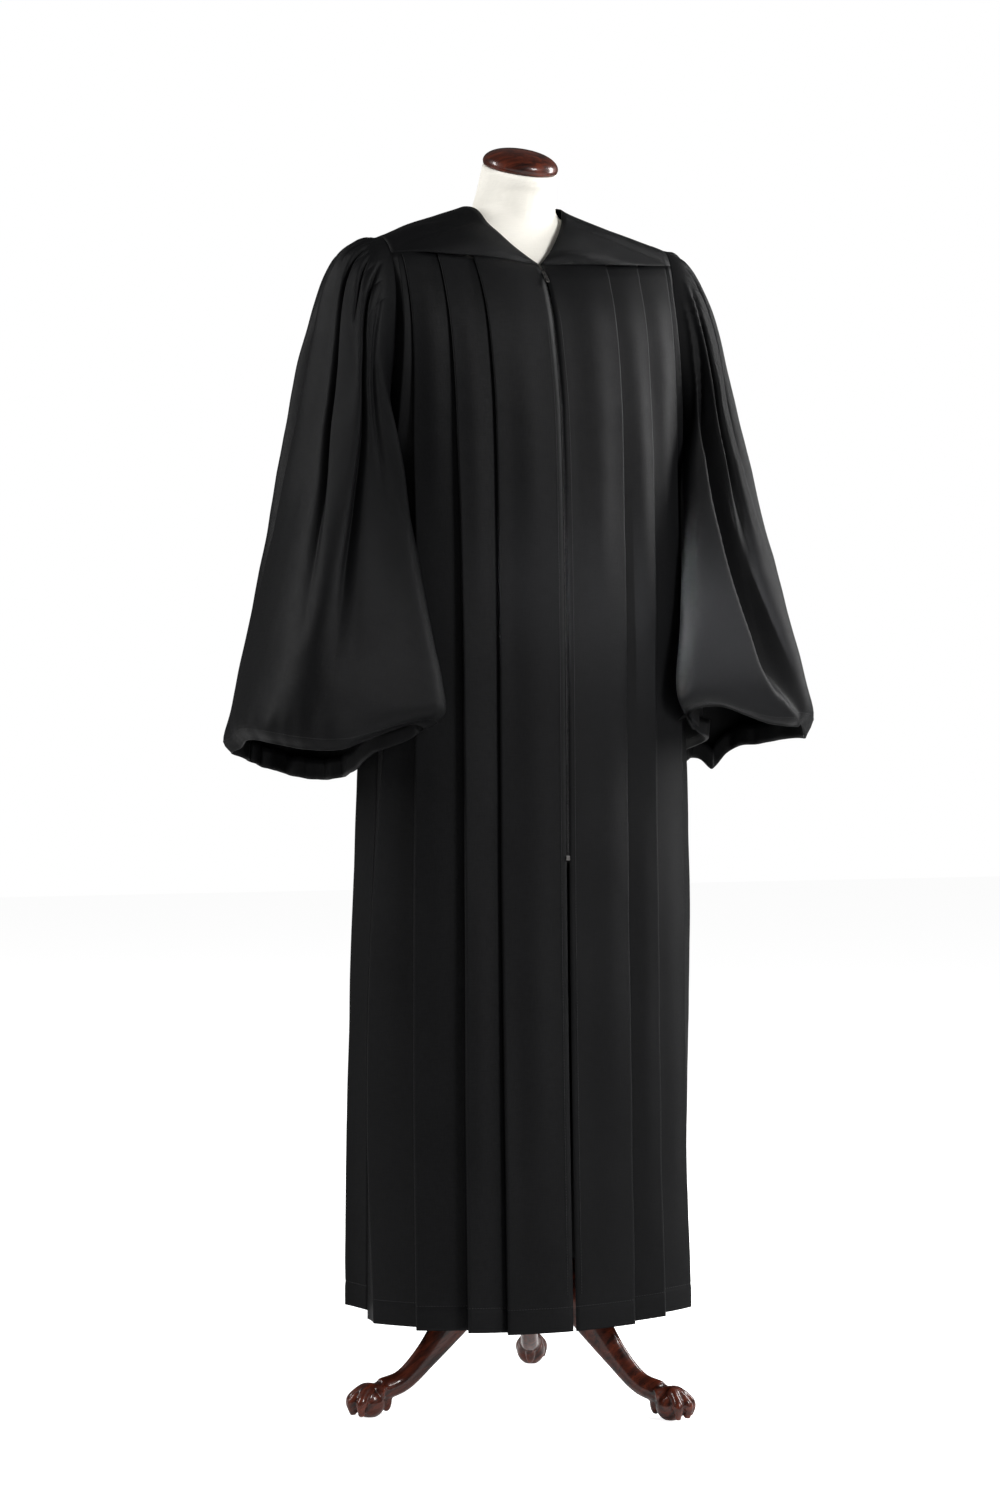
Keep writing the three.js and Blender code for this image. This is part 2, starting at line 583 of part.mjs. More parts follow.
// Columns lie closer over the gathered head than under the arm.
const HEAD_CROWDING = 0.45;
const sleeveAngle = (i) => (TAU * i) / SLEEVE_SIDES - HEAD_CROWDING * Math.sin((TAU * i) / SLEEVE_SIDES);

function sleeve(hand) {
  const wearer = hand < 0 ? "right" : "left";
  const folds = SLEEVE_FOLDS[wearer];
  const hitch = SLEEVE_HITCH[wearer];
  const columns = Array.from({ length: SLEEVE_SIDES }, (_, i) => sleeveAngle(i));
  const plain = SLEEVE_LEVELS.map((t) => columns.map((angle) => sleevePoint(angle, t, hitch)));
  const folded = plain.map((row, r) =>
    row.map((p, c) => {
      const normal = gridNormal(plain, r, c, true);
      return p.clone().addScaledVector(normal, -sleeveFold(columns[c], SLEEVE_LEVELS[r], folds));
    }),
  );
  return wall(hand < 0 ? mirrored(folded) : folded, true);
}

// Zip
const FRONT_LEVELS = panelLevels(FRONT_ROWS);
const ZIP_TOP_Z = 1362;
const CHAIN_FACE = 0.7; // the chain's faces lie this far from the cloth's middle

// The front edge of the fronts at a height, straight between the panels' levels.
function zipLine(z) {
  const i = Math.max(1, FRONT_LEVELS.findIndex((level) => level <= z));
  const [high, low] = [FRONT_LEVELS[i - 1], FRONT_LEVELS[i]];
  const mid = (level) => readTable(FRONT_ROWS, "z", level).mid;
  return lerp(mid(high), mid(low), (z - high) / (low - high));
}

// The closed chain is one strip between the two fronts.
function zipChain() {
  const levels = [ZIP_TOP_Z, ...FRONT_LEVELS.filter((z) => z < ZIP_TOP_Z && z > ZIP_END_Z), ZIP_END_Z];
  return loft(
    levels.map((z) => {
      const mid = zipLine(z);
      const corner = (side, out) => at(side * ZIP_HALF, mid + out * CHAIN_FACE, z);
      return [corner(-1, 1), corner(1, 1), corner(1, -1), corner(-1, -1)];
    }),
  );
}

const SLIDER = { wide: 7, tall: 11, thick: 2.4, z: 1354 };
const PULL = { wide: 5, tall: 17, thick: 1.2, eyeR: 1.9, holeR: 1.05, eyeWide: 2.2 };
const BAIL_R = 0.7;
const ZIP_SLOPE = Math.atan2(zipLine(1348) - zipLine(1360), 12); // the chest's lean below the V
const BAIL_OUT = 3.4; // how far the bail's bar stands off the slider's middle

const box = (x, y, z) => new THREE.BoxGeometry(x, y, z);
const moved = (x, y, z) => new THREE.Matrix4().makeTranslation(x, y, z);

// The slider lies flat in its own frame: +Z up along the zip, -Y out of the cloth.
function zipSlider() {
  const plate = toManifold(box(SLIDER.wide, SLIDER.thick, SLIDER.tall));
  const bailPlace = moved(0, -BAIL_OUT, 0);
  const bar = toManifold(new THREE.CylinderGeometry(BAIL_R, BAIL_R, 4.6, 10).rotateZ(Math.PI / 2), bailPlace);
  let solid = plate.add(bar);
  for (const x of [-1.9, 1.9]) {
    solid = solid.add(toManifold(box(0.9, BAIL_OUT, 1.6), moved(x, -BAIL_OUT / 2, 0)));
  }
  return fromManifold(solid);
}

// The pull tab hangs from the bail; its eye is round the bar.
function zipPull() {
  const tab = toManifold(box(PULL.wide, PULL.thick, PULL.tall), moved(0, 0, -PULL.tall / 2 - 1.2));
  const across = (r, long) => toManifold(new THREE.CylinderGeometry(r, r, long, 16).rotateZ(Math.PI / 2));
  return fromManifold(tab.add(across(PULL.eyeR, PULL.eyeWide)).subtract(across(PULL.holeR, 12)));
}

// Stand
// A leg's middle line as reach from the pole and height, with its width and depth there.
const LEG_ROWS = table("t reach z wide deep", [
  [0, 24, 168, 28, 66],
  [0.2, 60, 142, 30, 54],
  [0.4, 97, 101, 27, 42],
  [0.6, 130, 65, 23, 29],
  [0.8, 161, 40, 21, 24],
  [1, 190, 33, 24, 24],
]);
const LEG_STEPS = 8;
const LEG_SIDES = 8;
const FOOT = { reach: 203, ballR: 19, ballZ: 17, toes: 3, spread: 34 };

// One leg along +X in its own frame: a swept bar with a raised ridge, then the ball and its toes.
function cabrioleLeg() {
  const rings = [];
  for (let i = 0; i <= LEG_STEPS; i++) {
    const t = i / LEG_STEPS;
    const row = readTable(LEG_ROWS, "t", t);
    const ahead = readTable(LEG_ROWS, "t", Math.min(1, t + 0.02));
    const behind = readTable(LEG_ROWS, "t", Math.max(0, t - 0.02));
    const along = new THREE.Vector2(ahead.reach - behind.reach, ahead.z - behind.z).normalize();
    rings.push(
      Array.from({ length: LEG_SIDES }, (_, j) => {
        const angle = (j / LEG_SIDES) * TAU + TAU / 4;
        const ridge = 1 + 0.16 * Math.max(0, Math.sin(angle)) ** 3;
        const up = (row.deep / 2) * Math.sin(angle) * ridge;
        const across = (row.wide / 2) * Math.cos(angle);
        return new THREE.Vector3(row.reach - along.y * up, across, row.z + along.x * up);
      }),
    );
  }
  let solid = toManifold(loft(rings));
  const ball = new THREE.SphereGeometry(FOOT.ballR, 10, 7);
  solid = solid.add(toManifold(ball, moved(FOOT.reach + 2, 0, FOOT.ballZ)));
  for (let i = 0; i < FOOT.toes; i++) {
    const turn = THREE.MathUtils.degToRad(lerp(-FOOT.spread, FOOT.spread, i / (FOOT.toes - 1)));
    solid = solid.add(toe(turn));
  }
  const heel = new THREE.SphereGeometry(7, 7, 5).scale(1, 0.9, 2);
  solid = solid.add(toManifold(heel, moved(FOOT.reach - 19, 0, 17)));
  const floor = toManifold(box(400, 200, 60), moved(150, 0, -30));
  return fromManifold(solid.subtract(floor));
}

const TOE_SIDES = 6;

// A toe runs from the ankle over the ball and down to a claw at its front.
function toe(turn) {
  const stations = [
    { ahead: -16, z: 32, r: 8.5 },
    { ahead: 2, z: 36, r: 8.8 },
    { ahead: 17, z: 30, r: 8.2 },
    { ahead: 26, z: 17, r: 6.4 },
    { ahead: 27, z: 3, r: 3.6 },
  ];
  const rings = stations.map(({ ahead, z, r }, i) => {
    const [a, b] = [stations[Math.max(0, i - 1)], stations[Math.min(stations.length - 1, i + 1)]];
    const along = new THREE.Vector2(b.ahead - a.ahead, b.z - a.z).normalize();
    return Array.from({ length: TOE_SIDES }, (_, j) => {
      const angle = (j / TOE_SIDES) * TAU;
      const up = r * Math.sin(angle);
      const forward = ahead - along.y * up;
      const across = r * 0.85 * Math.cos(angle);
      return new THREE.Vector3(
        FOOT.reach + forward * Math.cos(turn) - across * Math.sin(turn),
        forward * Math.sin(turn) + across * Math.cos(turn),
        z + along.x * up,
      );
    });
  });
  return toManifold(loft(rings));
}

// The turned column that carries the pole; its profile is radius and height.
const COLUMN_PROFILE = [
  [0, 112], [14, 112], [20, 120], [14, 128], [27.4, 134], [27.4, 190], [31, 200], [31, 208], [24, 216],
  [20, 236], [24, 262], [27, 286], [24, 306], [29, 314], [29, 322], [22, COLUMN_TOP_Z], [0, COLUMN_TOP_Z],
];
const LEG_SEAT = 27.4; // the column is plain and round here, and each leg's root is cut to it

function column() {
  const profile = COLUMN_PROFILE.map(([r, z]) => new THREE.Vector2(r, z));
  return new THREE.LatheGeometry(profile, 24).rotateX(Math.PI / 2);
}

// A leg with its root cut back to the column.
function seatedLeg() {
  const core = new THREE.CylinderGeometry(LEG_SEAT + 0.3, LEG_SEAT + 0.3, 200, 24).rotateX(Math.PI / 2);
  return fromManifold(toManifold(cabrioleLeg()).subtract(toManifold(core, moved(0, 0, 160))));
}

// Assembly
const group = new THREE.Group();

function add(name, geometry, finish, place = {}) {
  const mesh = new THREE.Mesh(geometry, new THREE.MeshStandardMaterial(finish));
  mesh.name = name;
  if (place.position) mesh.position.copy(place.position);
  if (place.rotation) mesh.rotation.set(...place.rotation);
  group.add(mesh);
  return mesh;
}

add("front_right", frontPanel(-1), CLOTH_BLACK);
add("front_left", frontPanel(1), CLOTH_BLACK);
add("back", backPanel(), CLOTH_BLACK);
add("yoke", yoke(), CLOTH_BLACK);
add("sleeve_right", sleeve(-1), CLOTH_BLACK);
add("sleeve_left", sleeve(1), CLOTH_BLACK);

// The slider and pull lean back with the chest; the bail's bar is the pull's pivot.
const sliderOut = CLOTH / 2 + SEAM_GAP + SLIDER.thick / 2;
const leanOut = (out) =>
  at(0, zipLine(SLIDER.z) + out * Math.cos(ZIP_SLOPE), SLIDER.z + out * Math.sin(ZIP_SLOPE));
add("zip_chain", zipChain(), ZIP_BLACK);
const zipLean = [-ZIP_SLOPE, 0, 0];
add("zip_slider", zipSlider(), ZIP_METAL, { position: leanOut(sliderOut), rotation: zipLean });
add("zip_pull", zipPull(), ZIP_METAL, { position: leanOut(sliderOut + BAIL_OUT), rotation: zipLean });

add("form_torso", formTorso(), LINEN_IVORY);
const capLean = Math.atan(NECK_TILT);
add("neck_cap", neckCap(), MAHOGANY, {
  position: at(0, NECK_CENTRE + SEAM_GAP * Math.sin(capLean), NECK_TOP_Z + SEAM_GAP),
  rotation: [capLean, 0, 0],
});
const poleLength = FORM_BOTTOM_Z - COLUMN_TOP_Z - 2 * SEAM_GAP;
add("pole", new THREE.CylinderGeometry(POLE_R, POLE_R, poleLength, 24), POLE_STEEL, {
  position: at(0, 0, COLUMN_TOP_Z + SEAM_GAP + poleLength / 2),
  rotation: [Math.PI / 2, 0, 0],
});
add("base_column", column(), MAHOGANY, { rotation: [0, 0, -BASE_TURN] });
const legNames = ["leg_front_right", "leg_front_left", "leg_back"];
const legAngles = [-150, -30, 90];
legNames.forEach((name, i) => {
  add(name, seatedLeg(), MAHOGANY, {
    rotation: [0, 0, THREE.MathUtils.degToRad(legAngles[i]) - BASE_TURN],
  });
});

// The origin is on the floor under the middle of the whole object.
const bounds = new THREE.Box3().setFromObject(group, true);
const middle = bounds.getCenter(new THREE.Vector3());
group.position.set(-middle.x, -middle.y, -bounds.min.z);

export default group;
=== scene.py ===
"""The looks of a pleated barrister gown on an ivory dress form with a mahogany tripod.

Tables and named sizes are in millimetres: side runs outwards from the middle, fwd forwards and z up from
the floor. The pole's axis in the frame is the middle, and what reaches Blender is in metres.
"""
import json
import math

import bmesh
import bpy
import numpy as np
from mathutils import Matrix, Vector, noise


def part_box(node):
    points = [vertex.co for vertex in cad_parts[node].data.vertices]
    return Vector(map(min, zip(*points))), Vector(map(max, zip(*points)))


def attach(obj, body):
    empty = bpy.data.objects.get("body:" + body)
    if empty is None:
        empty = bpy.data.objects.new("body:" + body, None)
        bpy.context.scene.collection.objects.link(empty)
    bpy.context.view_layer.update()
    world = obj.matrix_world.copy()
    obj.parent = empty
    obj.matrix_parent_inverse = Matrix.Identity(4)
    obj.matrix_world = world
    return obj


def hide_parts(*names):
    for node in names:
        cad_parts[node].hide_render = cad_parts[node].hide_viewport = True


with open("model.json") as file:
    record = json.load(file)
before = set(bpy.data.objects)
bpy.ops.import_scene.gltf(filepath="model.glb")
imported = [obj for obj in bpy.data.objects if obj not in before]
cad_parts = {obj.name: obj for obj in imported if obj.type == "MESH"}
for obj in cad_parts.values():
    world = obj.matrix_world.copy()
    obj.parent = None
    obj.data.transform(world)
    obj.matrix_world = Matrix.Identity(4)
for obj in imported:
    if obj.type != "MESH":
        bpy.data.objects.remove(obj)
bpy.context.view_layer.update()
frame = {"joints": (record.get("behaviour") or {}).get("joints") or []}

bl_info = {
    "name": "Barrister gown",
    "version": (1, 0, 0),
    "blender": (4, 5, 0),
    "location": "View3D > Sidebar > Gown",
    "description": "Dresses the packed gown, dress form and tripod with their looks",
    "category": "Add Mesh",
}

MM = 0.001
TAU = math.tau
POLE_LOW, POLE_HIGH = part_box("pole")
AXIS_X = (POLE_LOW.x + POLE_HIGH.x) / 2
AXIS_Y = (POLE_LOW.y + POLE_HIGH.y) / 2
CLOTH_BODY = "gown_on_form"
PULL_BODY = "pull_tab"
WEARERS = (("right", -1), ("left", 1))


# Small maths

def lerp(a, b, k):
    return a + (b - a) * k


def smooth(k):
    k = np.clip(k, 0, 1)
    return k * k * (3 - 2 * k)


def signed_power(value, power):
    return np.sign(value) * np.abs(value) ** power


def bell(distance):
    return np.exp(-distance * distance)


def unit(vectors):
    return vectors / np.maximum(np.linalg.norm(vectors, axis=-1, keepdims=True), 1e-9)


def pair(side, fwd):
    return np.stack(np.broadcast_arrays(side, fwd), -1).astype(float)


def place(side, fwd, z):
    """Points in the frame, in metres, from side, fwd and z in millimetres."""
    side, fwd, z = np.broadcast_arrays(side, fwd, z)
    return np.stack([side * MM + AXIS_X, -fwd * MM + AXIS_Y, z * MM], -1)


class Table:
    """Rows of sizes under named columns, read at any key along a smooth curve through the rows."""

    def __init__(self, names, rows):
        self.columns = dict(zip(names.split(), np.array(rows, float).T))
        self.keys = self.columns[names.split()[0]]

    def __call__(self, name, key):
        keys, values = self.keys, self.columns[name]
        key = np.asarray(key, float)
        sign = 1 if keys[1] > keys[0] else -1
        b = np.clip(np.searchsorted(keys * sign, key * sign), 1, len(keys) - 1)
        a = b - 1
        before = np.maximum(a - 1, 0)
        after = np.minimum(b + 1, len(keys) - 1)
        span = keys[b] - keys[a]
        k = np.clip((key - keys[a]) / span, 0, 1)
        rise = (values[b] - values[before]) / (keys[b] - keys[before]) * span
        leave = (values[after] - values[a]) / (keys[after] - keys[a]) * span
        return (
            values[a] * (2 * k**3 - 3 * k**2 + 1)
            + rise * (k**3 - 2 * k**2 + k)
            + values[b] * (3 * k**2 - 2 * k**3)
            + leave * (k**3 - k**2)
        )


# The gown's cut and drape

YOKE_SEAM_Z = 1366
BACK_SEAM_Z = 1345
FRONT_BOTTOM_Z = 108
BACK_BOTTOM_Z = 118
UNDERARM_Z = 1130
ZIP_TOP_Z = 1362
ZIP_END_Z = 660
EDGE_FROM_MIDDLE = 1.8  # the fronts' edges beside the zip

ARMHOLE = {"top_side": 187, "top_z": 1391, "under_side": 199, "front": 45, "back": -76, "dip": 8}
ARMHOLE_MIDDLE = (ARMHOLE["front"] + ARMHOLE["back"]) / 2
ARMHOLE_HALF = (ARMHOLE["front"] - ARMHOLE["back"]) / 2
ARMHOLE_SQUARE = 2.6  # squareness of the upper half

FRONT = Table("z mid e1s e1f e2s e2f e3s e3f e4s e4f layer under", [
    [1366, 44, 87, 47, 131, 43, 173, 35, 180, 33, 1.5, 8],
    [1347, 62, 86, 61, 130, 54, 172, 45, 180, 42, 1.6, 9],
    [1304, 83, 84, 81, 129, 72, 171, 60, 181, 55, 1.9, 10],
    [1260, 95, 83, 93, 128, 83, 171, 67, 183, 61, 2.2, 12],
    [1200, 107, 82, 103, 127, 91, 172, 70, 187, 60, 2.6, 14],
    [1155, 112, 82, 106, 127, 95, 173, 71, 190, 54, 2.8, 15],
    [1128, 114, 82, 108, 127, 98, 173, 72, 193, 44, 3, 16],
    [1020, 119, 82, 113, 126, 105, 173, 78, 194, 40, 3.4, 17],
    [850, 124, 82, 117, 125, 110, 174, 81, 197, 44, 3.9, 18],
    [600, 128, 82, 123, 125, 115, 177, 83, 210, 32, 4.4, 20],
    [350, 136, 82, 132, 126, 120, 178, 86, 212, 20, 5, 21],
    [108, 146, 82, 141, 127, 131, 179, 96, 204, 19, 5.6, 22],
])
BACK = Table("z mid e1s e1f e2s e2f e3s e3f layer under", [
    [1345, 98, 78, 98, 136, 86, 179, 66, 1.5, 8],
    [1304, 107, 78, 108, 137, 97, 180, 79, 1.8, 12],
    [1260, 114, 79, 114, 138, 104, 182, 82, 2.2, 15],
    [1200, 119, 80, 118, 139, 108, 185, 77, 2.7, 17],
    [1155, 121, 80, 120, 140, 109, 190, 64, 2.9, 19],
    [1128, 122, 81, 121, 140, 110, 195, 34, 3.1, 20],
    [1020, 124, 81, 123, 140, 112, 195, 48, 3.5, 22],
    [850, 128, 82, 127, 141, 115, 197, 44, 4, 24],
    [600, 131, 83, 130, 143, 118, 207, 43, 4.6, 26],
    [350, 135, 84, 134, 145, 122, 214, 42, 5.2, 28],
    [118, 140, 85, 139, 147, 127, 218, 38, 5.8, 30],
])
SIDE_SEAM = Table("z side fwd", [
    [1130, 199, -15.5],
    [1115, 193, -14],
    [1010, 187, -8],
    [790, 188, -2],
    [480, 197, -11],
    [100, 200, -8],
])
FACE_BULGE = 0.02  # a pleat's face rounds out by this share of its width
HEM_RISE = (0, 1, 5, 6, 3)  # how far the hem rises at the middle, at each pleat's edge and at the side seam
HEM_REACH = 450  # the height below which the rise of the hem shows
HEM_DEPTH = 28  # the turned-up hem

SLEEVE = Table("t out_s out_z in_s in_z front back dip square tuck push pitch", [
    [0, 187, 1391, 199, 1130, 45, -76, 8, 2, 0, 0, 0],
    [0.05, 209, 1387, 203, 1122, 52, -94, 5, 2, 8, 14, 0],
    [0.11, 231, 1373, 206, 1102, 58, -106, 2, 2, 20, 24, 0],
    [0.19, 246, 1339, 208, 1068, 64, -112, 0, 2.1, 30, 28, 0],
    [0.29, 257, 1269, 209, 1026, 72, -114, 0, 2.1, 36, 31, 1],
    [0.4, 273, 1188, 210, 984, 82, -114, 0, 2.2, 44, 30, 2],
    [0.52, 292, 1100, 211, 940, 94, -113, 0, 2.3, 53, 25, 5],
    [0.65, 315, 1006, 211, 893, 107, -112, 0, 2.45, 63, 22, 9],
    [0.78, 338, 915, 212, 845, 119, -109, 0, 2.6, 74, 18, 14],
    [0.9, 357, 843, 213, 798, 124, -110, 0, 2.6, 79, 17, 18],
    [0.96, 361, 815, 215, 772, 121, -107, 0, 2.5, 74, 14, 20],
    [1, 352, 803, 220, 760, 112, -98, 0, 2.4, 64, 10, 21],
])
TUCK = {"angle": 132, "front_spread": 27, "inner_spread": 16}

NECK_NAMES = "t side fwd z"
NECKLINES = {
    "left": Table(NECK_NAMES, [
        [0, 5, 43, 1368],
        [0.14, 20.5, 35.5, 1386],
        [0.3, 36, 23.5, 1409],
        [0.46, 50, 1, 1430],
        [0.64, 60, -36, 1446],
        [0.8, 48, -72, 1451],
        [1, 0, -87, 1449],
    ]),
    "right": Table(NECK_NAMES, [
        [0, 5, 43, 1368],
        [0.14, 28, 34, 1385],
        [0.3, 50, 21, 1406],
        [0.46, 63, -4, 1422],
        [0.64, 68, -40, 1433],
        [0.8, 50, -74, 1444],
        [1, 0, -87, 1449],
    ]),
}
NECK_SHARE = {"front": 0.384, "armhole": 0.682}

FORM = Table("z half front back square", [
    [770, 150, 90, -96, 2.2],
    [800, 160, 97, -106, 2.2],
    [870, 168, 100, -110, 2.2],
    [960, 158, 98, -102, 2.2],
    [1040, 147, 95, -92, 2.2],
    [1120, 153, 96, -93, 2.3],
    [1200, 165, 91, -96, 2.3],
    [1260, 170, 80, -95, 2.3],
    [1304, 172, 65, -92, 2.3],
    [1340, 173, 46, -86, 2.2],
    [1366, 170, 33, -80, 2.1],
    [1384, 168, 27, -77, 2.0],
    [1398, 154, 21, -75, 1.9],
    [1410, 131, 17, -75, 1.8],
    [1422, 101, 14, -77, 1.8],
    [1434, 68, 13, -79, 1.85],
    [1443, 54, 15, -80, 1.95],
    [1454, 51, 19, -79, 2],
    [1468, 48, 24, -73, 2],
    [1494, 45, 32, -58, 2],
])
NECK_BASE_Z = 1454
NECK_TOP_Z = 1494
NECK_TILT = 0.4
NECK_CENTRE = -13


# The gown sits a little higher on the wearer's left shoulder: how far, by the place's side.
SHOULDER_LIFT = Table("side lift", [
    [-190, 6],
    [-150, 9],
    [-110, 8],
    [-60, 8],
    [0, 4],
    [60, 7],
    [110, 10],
    [150, 13],
    [190, 17],
])
LIFT_FROM_Z, LIFT_FULL_Z = 1130, 1360
LIFT_ENDS = (190, 265)


def hung(grid):
    """The cloth's points, raised where the gown sits higher on the form."""
    side = (grid[..., 0] - AXIS_X) / MM
    z = grid[..., 2] / MM
    lift = SHOULDER_LIFT("lift", np.clip(side, -190, 190))
    lift = lift * (1 - smooth((np.abs(side) - LIFT_ENDS[0]) / (LIFT_ENDS[1] - LIFT_ENDS[0])))
    raised = grid.copy()
    raised[..., 2] += lift * smooth((z - LIFT_FROM_Z) / (LIFT_FULL_Z - LIFT_FROM_Z)) * MM
    return raised


class GownSizes(bpy.types.PropertyGroup):
    """Sizes that a user would change."""
    cloth: bpy.props.FloatProperty(
        name="Cloth thickness", description="Thickness of the gown's cloth",
        default=0.0009, min=0.0004, max=0.0016, unit="LENGTH")
    stitch: bpy.props.FloatProperty(
        name="Stitch length", description="Length of one stitch with its gap",
        default=0.0034, min=0.002, max=0.008, unit="LENGTH")
    tooth: bpy.props.FloatProperty(
        name="Zip pitch", description="Distance between the teeth on one side of the zip",
        default=0.0026, min=0.0015, max=0.006, unit="LENGTH")
    crease: bpy.props.FloatProperty(
        name="Crease strength", description="Scale of the soft creases laid on the cloth",
        default=1.0, min=0.0, max=2.0, subtype="FACTOR")


class GownColours(bpy.types.PropertyGroup):
    """Colours that a user would change."""
    cloth: bpy.props.FloatVectorProperty(
        name="Cloth", description="Colour of the gown's cloth", subtype="COLOR",
        size=4, default=(0.0037, 0.0038, 0.0042, 1), min=0, max=1)
    form_cover: bpy.props.FloatVectorProperty(
        name="Form cover", description="Colour of the dress form's linen", subtype="COLOR",
        size=4, default=(0.94, 0.91, 0.83, 1), min=0, max=1)
    wood_dark: bpy.props.FloatVectorProperty(
        name="Mahogany, dark", description="Dark streaks of the mahogany", subtype="COLOR",
        size=4, default=(0.012, 0.0035, 0.0025, 1), min=0, max=1)
    wood_light: bpy.props.FloatVectorProperty(
        name="Mahogany, light", description="Light streaks of the mahogany", subtype="COLOR",
        size=4, default=(0.11, 0.021, 0.009, 1), min=0, max=1)
    zip_black: bpy.props.FloatVectorProperty(
        name="Zip", description="Colour of the zip's teeth", subtype="COLOR",
        size=4, default=(0.004, 0.004, 0.0045, 1), min=0, max=1)
    floor: bpy.props.FloatVectorProperty(
        name="Floor", description="Colour of the studio floor", subtype="COLOR",
        size=4, default=(0.92, 0.92, 0.92, 1), min=0, max=1)


def sizes():
    return bpy.context.scene.gown_sizes


def colours():
    return bpy.context.scene.gown_colours


# Meshes

def object_from(name, vertices, faces, material, smooth_shade=True):
    """A new object in the scene from points and faces."""
    mesh = bpy.data.meshes.new(name)
    mesh.from_pydata([tuple(v) for v in vertices], [], [tuple(f) for f in faces])
    mesh.validate()
    mesh.materials.append(material)
    mesh.polygons.foreach_set("use_smooth", [smooth_shade] * len(mesh.polygons))
    thing = bpy.data.objects.new(name, mesh)
    bpy.context.scene.collection.objects.link(thing)
    return thing


def grid_faces(rows, wide, closed):
    r, c = np.meshgrid(np.arange(rows - 1), np.arange(wide if closed else wide - 1), indexing="ij")
    right = (c + 1) % wide
    corners = [r * wide + c, r * wide + right, (r + 1) * wide + right, (r + 1) * wide + c]
    return np.stack(corners, -1).reshape(-1, 4)


def cloth_object(name, grid, material, closed=False):
    """A cloth piece from a grid of points, with the cut's own metres as its UV map."""
    rows, wide = grid.shape[:2]
    thing = object_from(name, grid.reshape(-1, 3), grid_faces(rows, wide, closed), material)
    ring = np.concatenate([grid, grid[:, :1]], 1) if closed else grid
    across = np.cumsum(np.linalg.norm(np.diff(ring, axis=1), axis=-1), axis=1)
    across = np.concatenate([np.zeros((rows, 1)), across], 1)
    down = np.cumsum(np.linalg.norm(np.diff(ring, axis=0), axis=-1).mean(1))
    down = np.concatenate([[0], down])
    cut = np.stack(np.broadcast_arrays(across, -down[:, None]), -1)
    r, c = np.meshgrid(np.arange(rows - 1), np.arange(ring.shape[1] - 1), indexing="ij")
    corners = np.stack([cut[r, c], cut[r, c + 1], cut[r + 1, c + 1], cut[r + 1, c]], 2)
    layer = thing.data.uv_layers.new(name="cut")
    layer.data.foreach_set("uv", corners.reshape(-1).astype(np.float32))
    shell = thing.modifiers.new("thickness", "SOLIDIFY")
    shell.thickness = sizes().cloth
    shell.offset = 0
    shell.use_even_offset = True
    return thing


def grid_normals(grid, closed=False):
    """Unit normals of a grid of points, from each point's neighbours."""
    if closed:
        across = np.roll(grid, -1, 1) - np.roll(grid, 1, 1)
    else:
        across = np.gradient(grid, axis=1)
    return unit(np.cross(across, np.gradient(grid, axis=0)))


def apply_modifiers(thing):
    """Replaces a thing's mesh with what its modifiers make of it."""
    graph = bpy.context.evaluated_depsgraph_get()
    made = bpy.data.meshes.new_from_object(thing.evaluated_get(graph))
    thing.modifiers.clear()
    thing.data = made
    made.polygons.foreach_set("use_smooth", [True] * len(made.polygons))
    return thing


def joined(name, parts, material):
    """One object from several (points, faces) parts."""
    vertices, faces, start = [], [], 0
    for points, part_faces in parts:
        vertices.extend(points)
        faces.extend([tuple(start + i for i in face) for face in part_faces])
        start += len(points)
    return object_from(name, vertices, faces, material)


def seat(thing, body, slot, *nodes):
    """The thing rides on its body and stands for its nodes, which it hides; its slot is not used."""
    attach(thing, body)
    if nodes:
        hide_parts(*nodes)
    return thing


def ripple(points, size, strength, seed=0.0):
    """Soft unevenness for each point, from smooth noise of a given size."""
    flat = points.reshape(-1, 3) / size
    values = [noise.noise(Vector(p) + Vector((seed, seed * 1.7, seed * 0.3))) for p in flat]
    return np.array(values).reshape(points.shape[:-1]) * strength


# Armhole

def sleeve_square(angle, square):
    return np.where(np.cos(angle) > 0, np.maximum(square, ARMHOLE_SQUARE), square)


def armhole(angle):
    """Side, fwd and z round the armhole, from the shoulder point at 0 forwards."""
    power = 2 / sleeve_square(angle, 2.0)
    k = (1 + signed_power(np.cos(angle), power)) / 2
    s = signed_power(np.sin(angle), power)
    side = lerp(ARMHOLE["under_side"], ARMHOLE["top_side"], k) - ARMHOLE["dip"] * s * s
    return side, ARMHOLE_MIDDLE + ARMHOLE_HALF * s, lerp(UNDERARM_Z, ARMHOLE["top_z"], k)


HALF_TURN = np.linspace(0, math.pi, 2001)
HALF_TURN_Z = armhole(HALF_TURN)[2]


def armhole_angle(z):
    return np.interp(z, HALF_TURN_Z[::-1], HALF_TURN[::-1])


# Pleated panels

FACE_STEPS = 12
FOLD_STEPS = 6
TAIL_STEPS = 8
TAIL_RECESS = 0.35  # how far the strip beyond the last pleat turns in on its way to the seam
ARM_BLEND = 120  # below the underarm by this much, that strip hangs free of the armhole


def side_seam(z, sign):
    """Where a panel ends, at the armhole or the side seam; a back panel's fwd is counted backwards."""
    hole_side, hole_fwd, _ = armhole(armhole_angle(z))
    hole_fwd = hole_fwd if sign > 0 else 2 * ARMHOLE_MIDDLE - hole_fwd
    seam = pair(
        np.interp(z, SIDE_SEAM.keys[::-1], SIDE_SEAM.columns["side"][::-1]),
        sign * np.interp(z, SIDE_SEAM.keys[::-1], SIDE_SEAM.columns["fwd"][::-1]),
    )
    return np.where((z > UNDERARM_Z)[:, None], pair(hole_side, sign * hole_fwd), seam)


